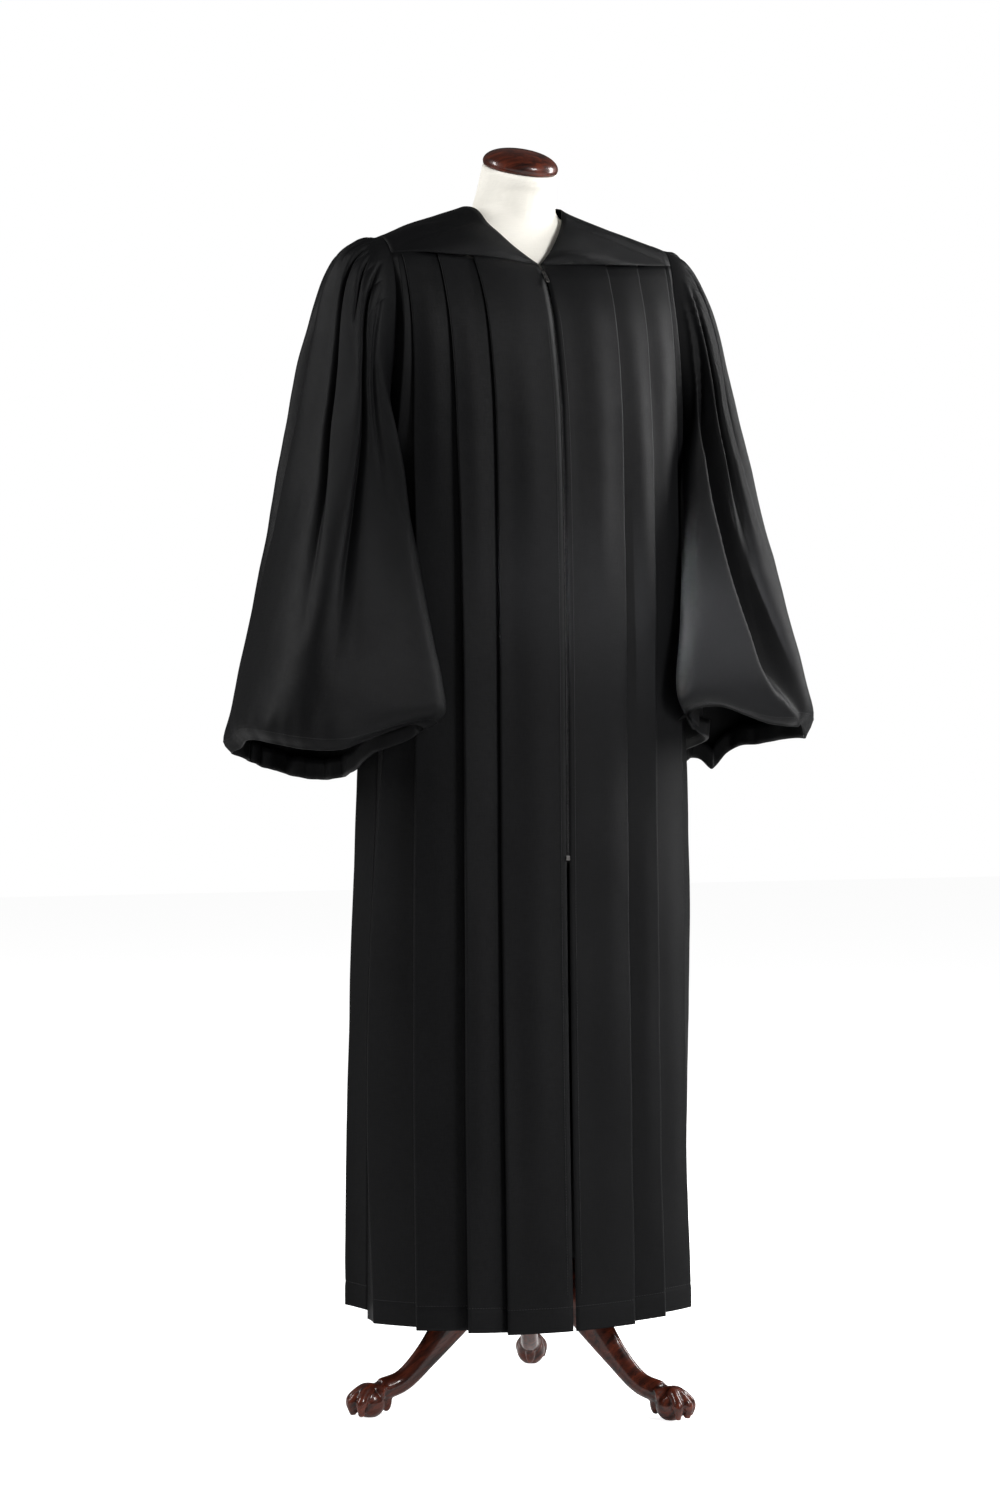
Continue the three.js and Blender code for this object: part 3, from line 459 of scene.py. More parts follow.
def half_panel(rows, levels, start, sign):
    """A pleated half panel: side and fwd for each level and column, and each column's hem rise."""
    layer, under = rows("layer", levels)[:, None], rows("under", levels)[:, None]
    turn = layer / 2
    pleats = sum(name[0] == "e" and name[-1] == "s" for name in rows.columns)
    origin = pair(start, rows("mid", levels))
    lift_from, hidden = HEM_RISE[0], np.zeros_like(turn)
    columns, lifts = [], []
    half_circle = np.linspace(math.pi / 2, -math.pi / 2, FOLD_STEPS)
    for k in range(1, pleats + 1):
        edge = pair(rows(f"e{k}s", levels), rows(f"e{k}f", levels))
        along = unit(edge - origin)
        out = np.stack([-along[:, 1], along[:, 0]], -1)
        face_end = edge - along * turn
        wide = np.linalg.norm(face_end - origin, axis=-1, keepdims=True)
        lift = HEM_RISE[k]
        for u in np.sin(np.linspace(0, math.pi / 2, FACE_STEPS + 1)[:-1]) ** 1.3:
            shown = np.clip((u * wide - hidden) / np.maximum(1, wide - hidden), 0, 1)
            bulge = FACE_BULGE * (wide - hidden) * 4 * shown * (1 - shown)
            columns.append(lerp(origin, face_end, u) + out * bulge)
            lifts.append(lerp(lift_from, lift, u))
        centre = face_end - out * turn
        last = k == pleats
        for angle in half_circle[half_circle > -0.1] if last else half_circle:
            columns.append(centre + turn * (along * math.cos(angle) + out * math.sin(angle)))
            lifts.append(lift)
        if last:
            break
        columns.append(edge - along * lerp(turn, under - turn, 0.5) - out * layer)
        inner = edge - along * (under - turn) - out * (layer + turn)
        for angle in half_circle[:-1]:
            columns.append(inner + turn * (out * math.sin(angle) - along * math.cos(angle)))
        lifts.extend([lift] * FOLD_STEPS)
        origin = edge - along * (under - turn) - out * 2 * layer
        lift_from, hidden = lift, under
    seam = side_seam(levels, sign)
    tip = columns[-1]
    recess = lerp(tip, seam, TAIL_RECESS) - pair(0.5 * layer[:, 0], 0)
    for s in np.linspace(0, 1, TAIL_STEPS + 1)[1:]:
        columns.append((1 - s) ** 2 * tip + 2 * s * (1 - s) * recess + s * s * seam)
        lifts.append(lerp(HEM_RISE[pleats], HEM_RISE[4], s))
    free = smooth((UNDERARM_Z - levels) / ARM_BLEND)[:, None]
    kept = len(columns) - TAIL_STEPS - sum(half_circle > -0.1) - 2
    tail = columns[kept]
    spare = len(columns) - 1 - kept
    for i in range(kept + 1, len(columns)):
        columns[i] = lerp(lerp(tail, seam, (i - kept) / spare), columns[i], free)
    return np.stack(columns, 1), np.array(lifts)


CHEST_END_Z = 1100
HEM_ZONE = 60
LEVEL_COUNTS = {"chest": 46, "skirt": 62, "hem": 22}


def panel_levels(top, bottom):
    """Heights from the seam to the hem, closer where the chest turns and at the hem."""
    chest = np.linspace(top, CHEST_END_Z, LEVEL_COUNTS["chest"])
    skirt = np.linspace(CHEST_END_Z, bottom + HEM_ZONE, LEVEL_COUNTS["skirt"])[1:]
    hem = np.linspace(bottom + HEM_ZONE, bottom, LEVEL_COUNTS["hem"])[1:]
    return np.concatenate([chest, skirt, hem])


# Soft creases of the fronts and back: where each starts and ends, its depth (a minus sign is a trough)
# and its half width.
FRONT_LEFT_CREASES = Table("side z to_side to_z deep wide", [
    [52, 1352, 46, 940, 2.6, 15],
    [22, 1300, 30, 860, -1.8, 12],
    [104, 1350, 112, 900, 3.2, 13],
    [148, 1340, 154, 1010, 2.8, 12],
    [60, 1000, 56, 360, 1.6, 18],
    [30, 620, 28, 150, -1.6, 16],
    [104, 760, 108, 180, 1.8, 13],
    [152, 720, 156, 160, 2.2, 14],
])
FRONT_RIGHT_CREASES = Table("side z to_side to_z deep wide", [
    [44, 1350, 40, 1000, 1.8, 14],
    [62, 1240, 66, 760, -1.6, 12],
    [106, 1345, 103, 930, 2.2, 12],
    [150, 1335, 148, 1040, 2.2, 11],
    [38, 900, 42, 300, 1.8, 18],
    [66, 560, 62, 140, -1.8, 14],
    [106, 640, 110, 150, 2.0, 13],
    [154, 800, 150, 200, 2.0, 13],
])
BACK_CREASES = Table("side z to_side to_z deep wide", [
    [34, 1330, 40, 950, 2.4, 18],
    [-46, 1320, -38, 900, 2.8, 16],
    [4, 1180, -8, 640, -1.8, 16],
    [106, 1330, 112, 980, 2.6, 14],
    [-110, 1330, -104, 1020, 2.2, 14],
    [44, 760, 36, 180, 1.9, 18],
    [-30, 700, -40, 170, -1.8, 16],
    [160, 1240, 166, 760, 2.4, 14],
    [-162, 1200, -158, 700, 2.2, 14],
])


def creased(side, z, creases):
    """How far cloth stands out at each place, by a table of creases."""
    out = np.zeros_like(side)
    for side0, z0, side1, z1, deep, wide in zip(*creases.columns.values()):
        k = np.clip((z0 - z) / (z0 - z1), 0, 1)
        out += deep * np.sin(math.pi * k) ** 0.8 * bell((side - lerp(side0, side1, k)) / wide)
    return out * sizes().crease


PANEL_UNEVEN = {"broad": (0.11, 1.6), "fine": (0.028, 0.35)}  # size in metres and depth in millimetres
HEM_LINE = {"groove": 0.5, "groove_wide": 2.2, "fold": 0.35, "fold_wide": 6}
SEAM_LINE = {"groove": 0.5, "groove_wide": 2.5, "reach": 30}


def panel_grid(section, levels, lifts, sign, hand, creases, seed):
    """A half panel's points in the frame, with its creases, hem and the cloth's soft unevenness."""
    bottom = levels[-1]
    low = np.clip((HEM_REACH - levels) / (HEM_REACH - bottom), 0, 1)[:, None]
    z = levels[:, None] + lifts[None, :] * low
    side, fwd = section[..., 0], section[..., 1]
    out = creased(hand * side if creases is BACK_CREASES else side, z, creases)
    grid = place(hand * side, sign * fwd, z)
    out += ripple(grid, *PANEL_UNEVEN["broad"], seed) + ripple(grid, *PANEL_UNEVEN["fine"], seed + 5)
    above_hem = z - bottom - lifts[None, :]
    out -= HEM_LINE["groove"] * bell((above_hem - HEM_DEPTH) / HEM_LINE["groove_wide"])
    out += HEM_LINE["fold"] * smooth((HEM_DEPTH - above_hem) / HEM_LINE["fold_wide"])
    below_seam = levels[0] - levels[:, None]
    out = out * smooth(below_seam / SEAM_LINE["reach"])
    out -= SEAM_LINE["groove"] * bell(below_seam / SEAM_LINE["groove_wide"])
    steady = smooth((side - EDGE_FROM_MIDDLE) / 12) if creases is not BACK_CREASES else 1.0
    ends = 1 - smooth(1 - (section.shape[1] - 1 - np.arange(section.shape[1])) / 5)
    outwards = unit(place(side * hand * 0.35, sign * 150.0, 0 * z) - place(0, 0, 0))
    return hung(grid + outwards * (out * steady * ends[None, :])[..., None] * MM)


def front_grid(hand):
    """One front's points, from its edge beside the zip to the armhole and side seam."""
    levels = panel_levels(YOKE_SEAM_Z, FRONT_BOTTOM_Z)
    section, lifts = half_panel(FRONT, levels, EDGE_FROM_MIDDLE, 1)
    creases = FRONT_LEFT_CREASES if hand > 0 else FRONT_RIGHT_CREASES
    return panel_grid(section, levels, lifts, 1, hand, creases, 2.0 + hand)


def back_grid():
    """The back's points, from the wearer's right side seam to the left one."""
    levels = panel_levels(BACK_SEAM_Z, BACK_BOTTOM_Z)
    section, lifts = half_panel(BACK, levels, 0, -1)
    right, left = (panel_grid(section, levels, lifts, -1, hand, BACK_CREASES, 9.0) for hand in (-1, 1))
    return np.concatenate([right[:, :0:-1], left], 1)


# Yoke

YOKE_STEPS = {"front": 30, "armhole": 22, "back": 26}
YOKE_LEVELS = 22
YOKE_BULGE = {"front": 5, "shoulder": 4, "back": 7}
YOKE_REST = 3.3
YOKE_DRAPE = {"forward": 0.6, "up": 0.7, "soft": 24, "steepest": 3, "seam_from": 0.86, "seam_run": 0.14}
YOKE_ROLL = {"proud": 0.5, "from": 0.8, "run": 0.2}  # the yoke's edge stands over the seams below it
YOKE_UNEVEN = (0.06, 0.7, 4)  # size in metres, depth in millimetres and seed


def form_height(side, fwd):
    """The height of the form's shoulders above each place, found by halving."""
    low, high = np.full(side.shape, 1300.0), np.full(side.shape, float(NECK_BASE_Z))
    for _ in range(24):
        z = (low + high) / 2
        front, back, half = FORM("front", z), FORM("back", z), FORM("half", z)
        square = FORM("square", z)
        reach = (front - back) / 2
        inside = np.abs(side / half) ** square + np.abs((fwd - (front + back) / 2) / reach) ** square < 1
        low, high = np.where(inside, z, low), np.where(inside, high, z)
    return low


def yoke_edge():
    """The yoke's outer edge, its place on the neckline and its bulge, column by column."""
    front_angle = float(armhole_angle(YOKE_SEAM_Z))
    back_angle = -float(armhole_angle(BACK_SEAM_Z))

    def seam(rows, z, angle, sign, start):
        side, fwd, _ = armhole(np.array(angle))
        return Table("t side fwd", [
            [0, start, sign * rows("mid", z)],
            [0.4, rows("e1s", z), sign * rows("e1f", z)],
            [0.72, rows("e2s", z), sign * rows("e2f", z)],
            [1, float(side), float(fwd)],
        ])

    front_seam = seam(FRONT, YOKE_SEAM_Z, front_angle, 1, EDGE_FROM_MIDDLE)
    back_seam = seam(BACK, BACK_SEAM_Z, back_angle, -1, 0)
    front = np.linspace(0, 1, YOKE_STEPS["front"], endpoint=False)
    arm = np.linspace(0, 1, YOKE_STEPS["armhole"] + 1)
    back = np.linspace(0, 1, YOKE_STEPS["back"] + 1)[1:]
    arm_points = armhole(lerp(front_angle, back_angle, arm))
    side = np.concatenate([front_seam("side", front), arm_points[0], back_seam("side", 1 - back)])
    fwd = np.concatenate([front_seam("fwd", front), arm_points[1], back_seam("fwd", 1 - back)])
    z = np.concatenate([0 * front + YOKE_SEAM_Z, arm_points[2], 0 * back + BACK_SEAM_Z])
    neck = np.concatenate([
        NECK_SHARE["front"] * front,
        lerp(NECK_SHARE["front"], NECK_SHARE["armhole"], arm),
        lerp(NECK_SHARE["armhole"], 1, back),
    ])
    bulge = np.concatenate([
        0 * front + YOKE_BULGE["front"], 0 * arm + YOKE_BULGE["shoulder"], YOKE_BULGE["back"] * back])
    return side, fwd, z, neck, bulge


def yoke_half(wearer):
    """Side, fwd and z of half the yoke, from the neckline to its outer edge."""
    side1, fwd1, z1, neck, bulge = yoke_edge()
    side0, fwd0, z0 = (NECKLINES[wearer](name, neck) for name in ("side", "fwd", "z"))
    v = np.linspace(0, 1, YOKE_LEVELS)[:, None]
    length = np.sqrt((side1 - side0) ** 2 + (fwd1 - fwd0) ** 2 + (z1 - z0) ** 2)
    out = bulge * 4 * v * (1 - v) * np.clip(length / 60, 0, 1)
    side, fwd, z = lerp(side0, side1, v), lerp(fwd0, fwd1, v), lerp(z0, z1, v)
    fwd = fwd + np.sign(fwd) * out * YOKE_DRAPE["forward"]
    z = z + out * YOKE_DRAPE["up"]
    slope_side = (form_height(side + 2, fwd) - form_height(side - 2, fwd)) / 4
    slope_fwd = (form_height(side, fwd + 2) - form_height(side, fwd - 2)) / 4
    steep = np.minimum(YOKE_DRAPE["steepest"], np.sqrt(1 + slope_side**2 + slope_fwd**2))
    floor = form_height(side, fwd) + YOKE_REST * steep
    lifted = (z + floor + np.sqrt((z - floor) ** 2 + YOKE_DRAPE["soft"])) / 2
    z = lerp(lifted, z, smooth((v - YOKE_DRAPE["seam_from"]) / YOKE_DRAPE["seam_run"]))
    return side, fwd, z


# Sleeves

SLEEVE_ROWS = 100
SLEEVE_COLUMNS = 430
SLEEVE_CROWDING, SLEEVE_CROWDED_AT = 0.45, 0.8  # the columns lie closest together at this angle
SLEEVE_CLEAR = 0.8
SLEEVE_HITCH = {"right": 0, "left": 30}  # how far the front of a sleeve's rim is hitched up
SLEEVE_UNEVEN = {"broad": (0.09, 2.2), "fine": (0.03, 0.5)}  # size in metres and depth in millimetres
SLEEVE_STITCH_ROW = SLEEVE_ROWS - 3
# The gathers at a sleeve's head start below a smooth patch beside the armhole seam.
GATHERS = {
    "count": 31, "deep": 8.0, "pinch": 0.022, "fade_to": 0.2,
    "patch": 0.04, "patch_at": 42, "patch_wide": 26,
}
HEM_TURN = {"radius": 2.2, "deep": 20, "inwards": 1.5}
TUCKED_UNDER = 4  # a sleeve's head goes this far inside the armhole seam
RIM_FROM = 0.8  # the share of a sleeve above which its rim doesn't move it
FLUTES_FROM = 0.88
# Folds of a sleeve. Each row is a place along the fold: where it lies round the sleeve in degrees, how far
# it stands out (a minus sign is a trough), and its half widths in degrees on its two sides.
FOLD_NAMES = "t at deep after before"


def fold(*rows):
    return Table(FOLD_NAMES, rows)


BACK_FOLDS = (
    fold([0.03, -34, 0, 2, 2], [0.12, -41, -11, 2, 3], [0.4, -46, -12, 3, 4], [0.7, -50, -5, 6, 6],
         [0.95, -52, 0, 9, 9]),
    fold([0.03, -58, 0, 2, 2], [0.14, -68, -10, 2, 3], [0.35, -74, -13, 3, 3], [0.62, -78, -6, 5, 5],
         [0.9, -80, 0, 9, 9]),
    fold([0.03, -84, 0, 2, 2], [0.12, -96, -9, 2, 2], [0.3, -102, -11, 3, 3], [0.6, -106, -7, 5, 5],
         [0.95, -110, 0, 9, 9]),
    fold([0.05, -118, 0, 3, 3], [0.25, -128, -8, 3, 3], [0.6, -132, -9, 4, 4], [1, -134, -2, 9, 9]),
)
SLEEVE_FOLDS = {
    "right": (
        fold([0.05, 20, 0, 5, 4], [0.13, 14, 6, 6, 2], [0.25, 2, 9, 12, 1.6], [0.38, 0, 9, 14, 1.6],
             [0.5, -4, 8, 16, 2], [0.65, -11, 5, 20, 3], [0.85, -14, 0, 20, 4]),
        fold([0.07, 9, 0, 3, 3], [0.14, 8, -10, 2, 5], [0.25, -3, -14, 2, 6], [0.38, -6, -15, 2, 7],
             [0.5, -10, -11, 2.5, 8], [0.65, -18, -4, 4, 9], [0.82, -22, 0, 6, 10]),
        fold([0.05, 2, 0, 6, 12], [0.12, -8, -2, 5, 14], [0.2, -15, 2, 6, 17], [0.3, -20, 11, 7, 18],
             [0.45, -24, 12, 8, 18], [0.6, -28, 8, 10, 20], [0.85, -34, 4, 14, 22], [1, -40, 3, 16, 22]),
        fold([0.04, 26, 0, 1.6, 1.6], [0.12, 28, -10, 1.8, 2.2], [0.26, 31, -14, 2, 3],
             [0.36, 35, -14, 2.5, 3.5], [0.45, 38, -12, 3, 4], [0.57, 43, -8, 5, 6],
             [0.8, 50, 0, 10, 11]),
        fold([0.05, 36, 0, 1.6, 1.6], [0.09, 43, -7, 1.8, 1.8], [0.13, 50, -6, 2, 2], [0.2, 56, 0, 3, 3]),
        fold([0.03, 46, 0, 1.6, 1.6], [0.09, 61, -8, 2, 2.4], [0.13, 68, -8, 2.6, 3.4],
             [0.18, 78, -8, 3.2, 4.2], [0.29, 84, -10, 3.6, 4.6], [0.45, 84, -12, 4, 5],
             [0.6, 82, -9, 5.5, 6.5], [0.85, 84, 0, 11, 12]),
        fold([0.03, 60, 0, 3, 3], [0.08, 78, -3, 3, 3], [0.14, 91, -5, 4, 4], [0.24, 100, -5, 5, 5],
             [0.4, 108, 0, 6, 6]),
        fold([0.3, 118, 0, 8, 8], [0.6, 122, 5, 7, 7], [0.9, 124, 4, 7, 7], [1, 124, 0, 8, 8]),
        *BACK_FOLDS,
    ),
    "left": (
        fold([0.02, 64, 0, 8, 2], [0.1, 107, 6, 12, 2], [0.22, 112, 9, 18, 2], [0.46, 107, 13, 24, 2],
             [0.72, 100, 16, 28, 2], [0.86, 96, 15, 28, 3], [0.95, 84, 11, 28, 5], [1, 66, 6, 28, 7]),
        fold([0.06, 76, 0, 2, 3], [0.12, 102, -9, 2, 5], [0.22, 107, -13, 2, 6], [0.46, 102, -17, 2.4, 9],
             [0.72, 95, -18, 2.6, 13], [0.86, 90, -13, 3.5, 16], [0.96, 77, -5, 6, 17],
             [1, 60, 0, 8, 18]),
        fold([0.03, 50, 0, 6, 2], [0.09, 78, 6, 8, 2], [0.19, 91, 9, 8, 2], [0.31, 90, 9, 9, 2],
             [0.42, 90, 6, 11, 3], [0.6, 90, 0, 12, 6]),
        fold([0.05, 52, 0, 2, 3], [0.1, 74, -9, 2, 4], [0.19, 86, -14, 2, 6], [0.31, 85, -14, 2, 7],
             [0.42, 84, -8, 3, 9], [0.6, 82, 0, 6, 12]),
        fold([0.04, 34, 0, 2, 3], [0.12, 48, -8, 2, 3], [0.26, 54, -9, 3, 4], [0.5, 54, -3, 6, 7],
             [0.65, 54, 0, 8, 9]),
        fold([0.04, 12, 0, 2, 3], [0.12, 20, -7, 2, 3], [0.3, 22, -8, 3, 4], [0.6, 22, 0, 8, 8]),
        fold([0.05, -10, 0, 6, 10], [0.2, -24, 7, 8, 14], [0.5, -28, 6, 12, 18], [0.9, -34, 0, 16, 20]),
        fold([0.1, 32, 0, 16, 16], [0.3, 35, 8, 18, 18], [0.55, 36, 5, 18, 18], [0.75, 36, -2, 18, 18],
             [0.88, 36, -3, 18, 18], [0.95, 33, 6, 16, 18], [1, 29, 16, 14, 18]),
        *BACK_FOLDS,
    ),
}
# The rim's height round each sleeve, from the shoulder side at 0 degrees to the front at 90.
RIM_NAMES = "at z"
RIMS = {
    "right": Table(RIM_NAMES, [
        [-45, 781], [-20, 794], [0, 801], [20, 799], [45, 794], [65, 790], [90, 789], [104, 799],
        [115, 810], [126, 817], [136, 808], [150, 790], [165, 774], [180, 762], [200, 756], [225, 752],
        [248, 756], [270, 763], [292, 772], [315, 781], [340, 794], [360, 801], [380, 799],
    ]),
    "left": Table(RIM_NAMES, [
        [-45, 794], [-25, 796], [0, 802], [20, 811], [45, 821], [70, 822], [90, 822], [104, 832],
        [115, 842], [126, 839], [136, 828], [150, 806], [165, 798], [180, 792], [200, 784], [225, 780],
        [248, 774], [270, 778], [284, 764], [300, 784], [315, 794], [335, 796], [360, 802], [380, 811],
    ]),
}
# Small flutes of a rim: how many go round, how far they swing in and out, and their phase in degrees.
FLUTES = {
    "right": Table("count swing phase", [[6, 3.5, 40], [11, 3.6, 200], [17, 2.2, 70], [26, 1.0, 10]]),
    "left": Table("count swing phase", [[5, 3.5, 150], [10, 3.5, 20], [16, 1.6, 260]]),
}


def degrees_apart(a, b):
    return (a - b + 540) % 360 - 180


def plain_sleeve(angle, t, hitch):
    read = {name: SLEEVE(name, t) for name in SLEEVE.columns}
    at_armhole = 1 - smooth(t / 0.2)
    power = 2 / lerp(read["square"], sleeve_square(angle, read["square"]), at_armhole)
    c = signed_power(np.cos(angle), power)
    s = signed_power(np.sin(angle), power)
    k = (1 + c) / 2
    apart = degrees_apart(np.degrees(angle), TUCK["angle"])
    near = bell(apart / np.where(apart > 0, TUCK["inner_spread"], TUCK["front_spread"]))
    side = lerp(read["in_s"], read["out_s"], k) - read["dip"] * s * s - read["tuck"] * near
    fwd = (read["front"] + read["back"]) / 2 + (read["front"] - read["back"]) / 2 * s + read["push"] * near
    z = lerp(read["in_z"], read["out_z"], k) + read["pitch"] * s + hitch * t * t * (0.4 + 0.6 * s)
    return side + SLEEVE_CLEAR, fwd, z


def sleeve_fold(angle, t, folds):
    """How far a sleeve's cloth stands out from the plain sleeve."""
    degrees = np.degrees(angle)
    out = np.zeros(np.broadcast(angle, t).shape)
    for line in folds:
        shown = (t >= line.keys[0]) & (t <= line.keys[-1])
        apart = degrees_apart(degrees, line("at", t))
        apart = apart / np.where(apart > 0, line("after", t), line("before", t))
        out += np.where(shown, line("deep", t), 0) * np.exp(-np.abs(apart) ** 1.6)
    upper = smooth((np.cos(angle) - 0.1) / 0.5)
    begin = 0.01 + GATHERS["patch"] * bell((degrees - GATHERS["patch_at"]) / GATHERS["patch_wide"])
    reach = GATHERS["fade_to"] * (0.75 + 0.35 * np.sin(3 * angle + 1) * np.cos(7 * angle))
    fade = smooth((t - begin) / GATHERS["pinch"]) * (1 - smooth((t - begin) / reach))
    wander = GATHERS["count"] * angle / 2 + 0.7 * np.sin(2 * angle + 1) + 0.5 * np.sin(5 * angle)
    uneven = 0.7 + 0.4 * np.sin(4 * angle + 0.6)
    return out + upper * fade * GATHERS["deep"] * uneven * (np.abs(np.sin(wander)) ** 0.4 - 0.75)


def sleeve_grid(wearer, hand):
    """A sleeve's points in the frame, from inside the armhole seam to the turned-up hem."""
    u = np.linspace(0, 1, SLEEVE_COLUMNS, endpoint=False)
    angle = (TAU * u - SLEEVE_CROWDING * np.sin(TAU * u - SLEEVE_CROWDED_AT))[None, :]
    t = (np.linspace(0, 1, SLEEVE_ROWS) ** 1.2)[:, None]
    side, fwd, z = plain_sleeve(angle, t, SLEEVE_HITCH[wearer])
    rim_z = RIMS[wearer]("z", np.degrees(angle) % 360)
    near_rim = smooth((t - RIM_FROM) / (1 - RIM_FROM))
    z = z + near_rim * (rim_z - z[-1:])
    middle = (SLEEVE("in_s", t) + SLEEVE("out_s", t)) / 2
    for count, swing, phase in zip(*FLUTES[wearer].columns.values()):
        behind = 0.35 + 0.65 * smooth(-np.sin(angle) + 0.4)
        wave = swing * np.cos(count * angle + math.radians(phase))
        pull = smooth((t - FLUTES_FROM) / (1 - FLUTES_FROM)) * behind * wave / 90
        side = side + (middle - side) * pull
        fwd = fwd * (1 - pull)
    plain = place(hand * side, fwd, z)
    normals = hand * grid_normals(plain, closed=True)
    out = sleeve_fold(angle, t, SLEEVE_FOLDS[wearer]) * (0.75 + 0.25 * sizes().crease)
    uneven = ripple(plain, *SLEEVE_UNEVEN["broad"], 3 + hand)
    uneven += ripple(plain, *SLEEVE_UNEVEN["fine"], 7 + hand)
    out += uneven * smooth(t / 0.2)
    grid = hung(plain + normals * out[..., None] * MM)
    inwards = -normals[-1]
    up = np.array([0, 0, 1.0])
    hem = []
    for turn in np.linspace(0, math.pi, 7)[1:]:
        reach = HEM_TURN["radius"] * (1 - math.cos(turn))
        hem.append(grid[-1] + (inwards * reach - up * HEM_TURN["radius"] * math.sin(turn)) * MM)
    for share in (0.12, 0.35, 0.65, 1):
        hem.append(hem[5] + (up * HEM_TURN["deep"] + inwards * HEM_TURN["inwards"]) * share * MM)
    hole_side, hole_fwd, hole_z = armhole(angle)
    middle_z = (ARMHOLE["top_z"] + UNDERARM_Z) / 2
    tucked = hung(place(
        hand * (hole_side - TUCKED_UNDER),
        ARMHOLE_MIDDLE + (hole_fwd - ARMHOLE_MIDDLE) * 0.96,
        middle_z + (hole_z - middle_z) * 0.98,
    ))
    return np.concatenate([tucked, grid, np.stack(hem)], 0)


# Zip

def zip_line(z):
    """The forward distance of the fronts' edges at a height."""
    return FRONT("mid", z)


def zip_slope(z):
    """The fronts' lean at a height, as an angle from upright."""
    return np.arctan2(zip_line(z - 6) - zip_line(z + 6), 12)


TOOTH = {"wide": 2.3, "tall": 1.15, "thick": 1.0, "root": 0.55, "proud": 0.1}
TOOTH_OUTLINE = [(-0.5, 0), (-0.36, 0.42), (0.3, 0.5), (0.5, 0.28), (0.5, -0.28), (0.3, -0.5), (-0.36, -0.42)]
TOOTH_LAYERS = ((-0.5, 0.78), (-0.2, 1), (0.25, 1), (0.5, 0.72))  # depth, and its outline's share
TEETH_FROM, TEETH_SHORT = 3, 12  # above the zip's end, and below its top
TAPE = {"outer": 13, "inner": 0.2, "thick": 0.5, "behind": 1.5, "tail": 6, "rows": 90}


def tooth_part(middle_side, z, hand):
    """One tooth: a rounded block with its head over the middle line."""
    lean = float(zip_slope(z))
    points = []
    for depth, shrink in TOOTH_LAYERS:
        for x, y in TOOTH_OUTLINE:
            side = middle_side - hand * x * TOOTH["wide"] * shrink
            up, out = y * TOOTH["tall"] * shrink, depth * TOOTH["thick"]
            rise = up * math.cos(lean) + out * math.sin(lean)
            fwd = float(zip_line(z)) + out * math.cos(lean) - up * math.sin(lean)
            points.append(tuple(place(side, fwd + TOOTH["proud"], z + rise)))
    count = len(TOOTH_OUTLINE)
    faces = [tuple(range(count))[::-1], tuple(range(len(points) - count, len(points)))]
    faces.extend(tuple(f) for f in grid_faces(len(TOOTH_LAYERS), count, True))
    return points, faces


def band(name, line, widths, thickness, material):
    """A flat strip along (fwd, z) points, across widths of side."""
    fwd, z = line
    parts = []
    for side0, side1 in widths:
        grid = place(np.linspace(side0, side1, 7)[None, :], fwd[:, None], z[:, None])
        parts.append((list(grid.reshape(-1, 3)), grid_faces(len(z), 7, False)))
    strip = joined(name, parts, material)
    shell = strip.modifiers.new("thickness", "SOLIDIFY")
    shell.thickness = thickness * MM
    return strip


# Stitches

STITCH = {"wide": 0.36, "high": 0.2, "proud": 0.05}
STITCH_RINGS = ((-0.36, 0.25), (-0.2, 1), (0.2, 1), (0.36, 0.25))  # place in the pitch, and its swell
STITCH_SIDES = 6
THREAD_LIES = 0.55  # a line of stitches lies this far from the cloth's middle, in thicknesses
FACING_AT = 40  # the column one in this many along a row tells which way its cloth faces


def stitch_run(points, normals, pitch):
    """Small raised stitches along a line of points, as one (points, faces) part."""
    steps = np.linalg.norm(np.diff(points, axis=0), axis=-1)
    along = np.concatenate([[0], np.cumsum(steps)])

    def read(rows, distance):
        return np.array([np.interp(distance, along, rows[:, i]) for i in range(3)])

    one = list(grid_faces(len(STITCH_RINGS), STITCH_SIDES, True))
    one.append(range(STITCH_SIDES)[::-1])
    one.append(range((len(STITCH_RINGS) - 1) * STITCH_SIDES, len(STITCH_RINGS) * STITCH_SIDES))
    vertices, faces = [], []
    for middle in np.arange(pitch / 2, along[-1], pitch):
        normal = unit(read(normals, middle))
        before, after = max(middle - pitch / 3, 0), min(middle + pitch / 3, along[-1])
        across = np.cross(unit(read(points, after) - read(points, before)), normal)
        faces.extend(tuple(len(vertices) + int(i) for i in face) for face in one)
        for share, swell in STITCH_RINGS:
            spot = read(points, np.clip(middle + share * pitch, 0, along[-1]))
            for angle in np.linspace(0, TAU, STITCH_SIDES, endpoint=False):
                aside = math.cos(angle) * STITCH["wide"] * swell * MM
                lift = (math.sin(angle) * STITCH["high"] * swell + STITCH["proud"]) * MM
                vertices.append(spot + across * aside + normal * lift)
    return vertices, faces


def hem_stitches(grid, row, outwards, pitch, closed=False):
    """A line of stitches along a row of a cloth grid, on the side that faces outwards near its start."""
    normals = grid_normals(grid, closed)[row]
    if np.dot(normals[len(normals) // FACING_AT], outwards) < 0:
        normals = -normals
    points = grid[row] + normals * sizes().cloth * THREAD_LIES
    if closed:
        points, normals = (np.concatenate([rows, rows[:1]]) for rows in (points, normals))
    return stitch_run(points, normals, pitch)


# Turned and carved wood

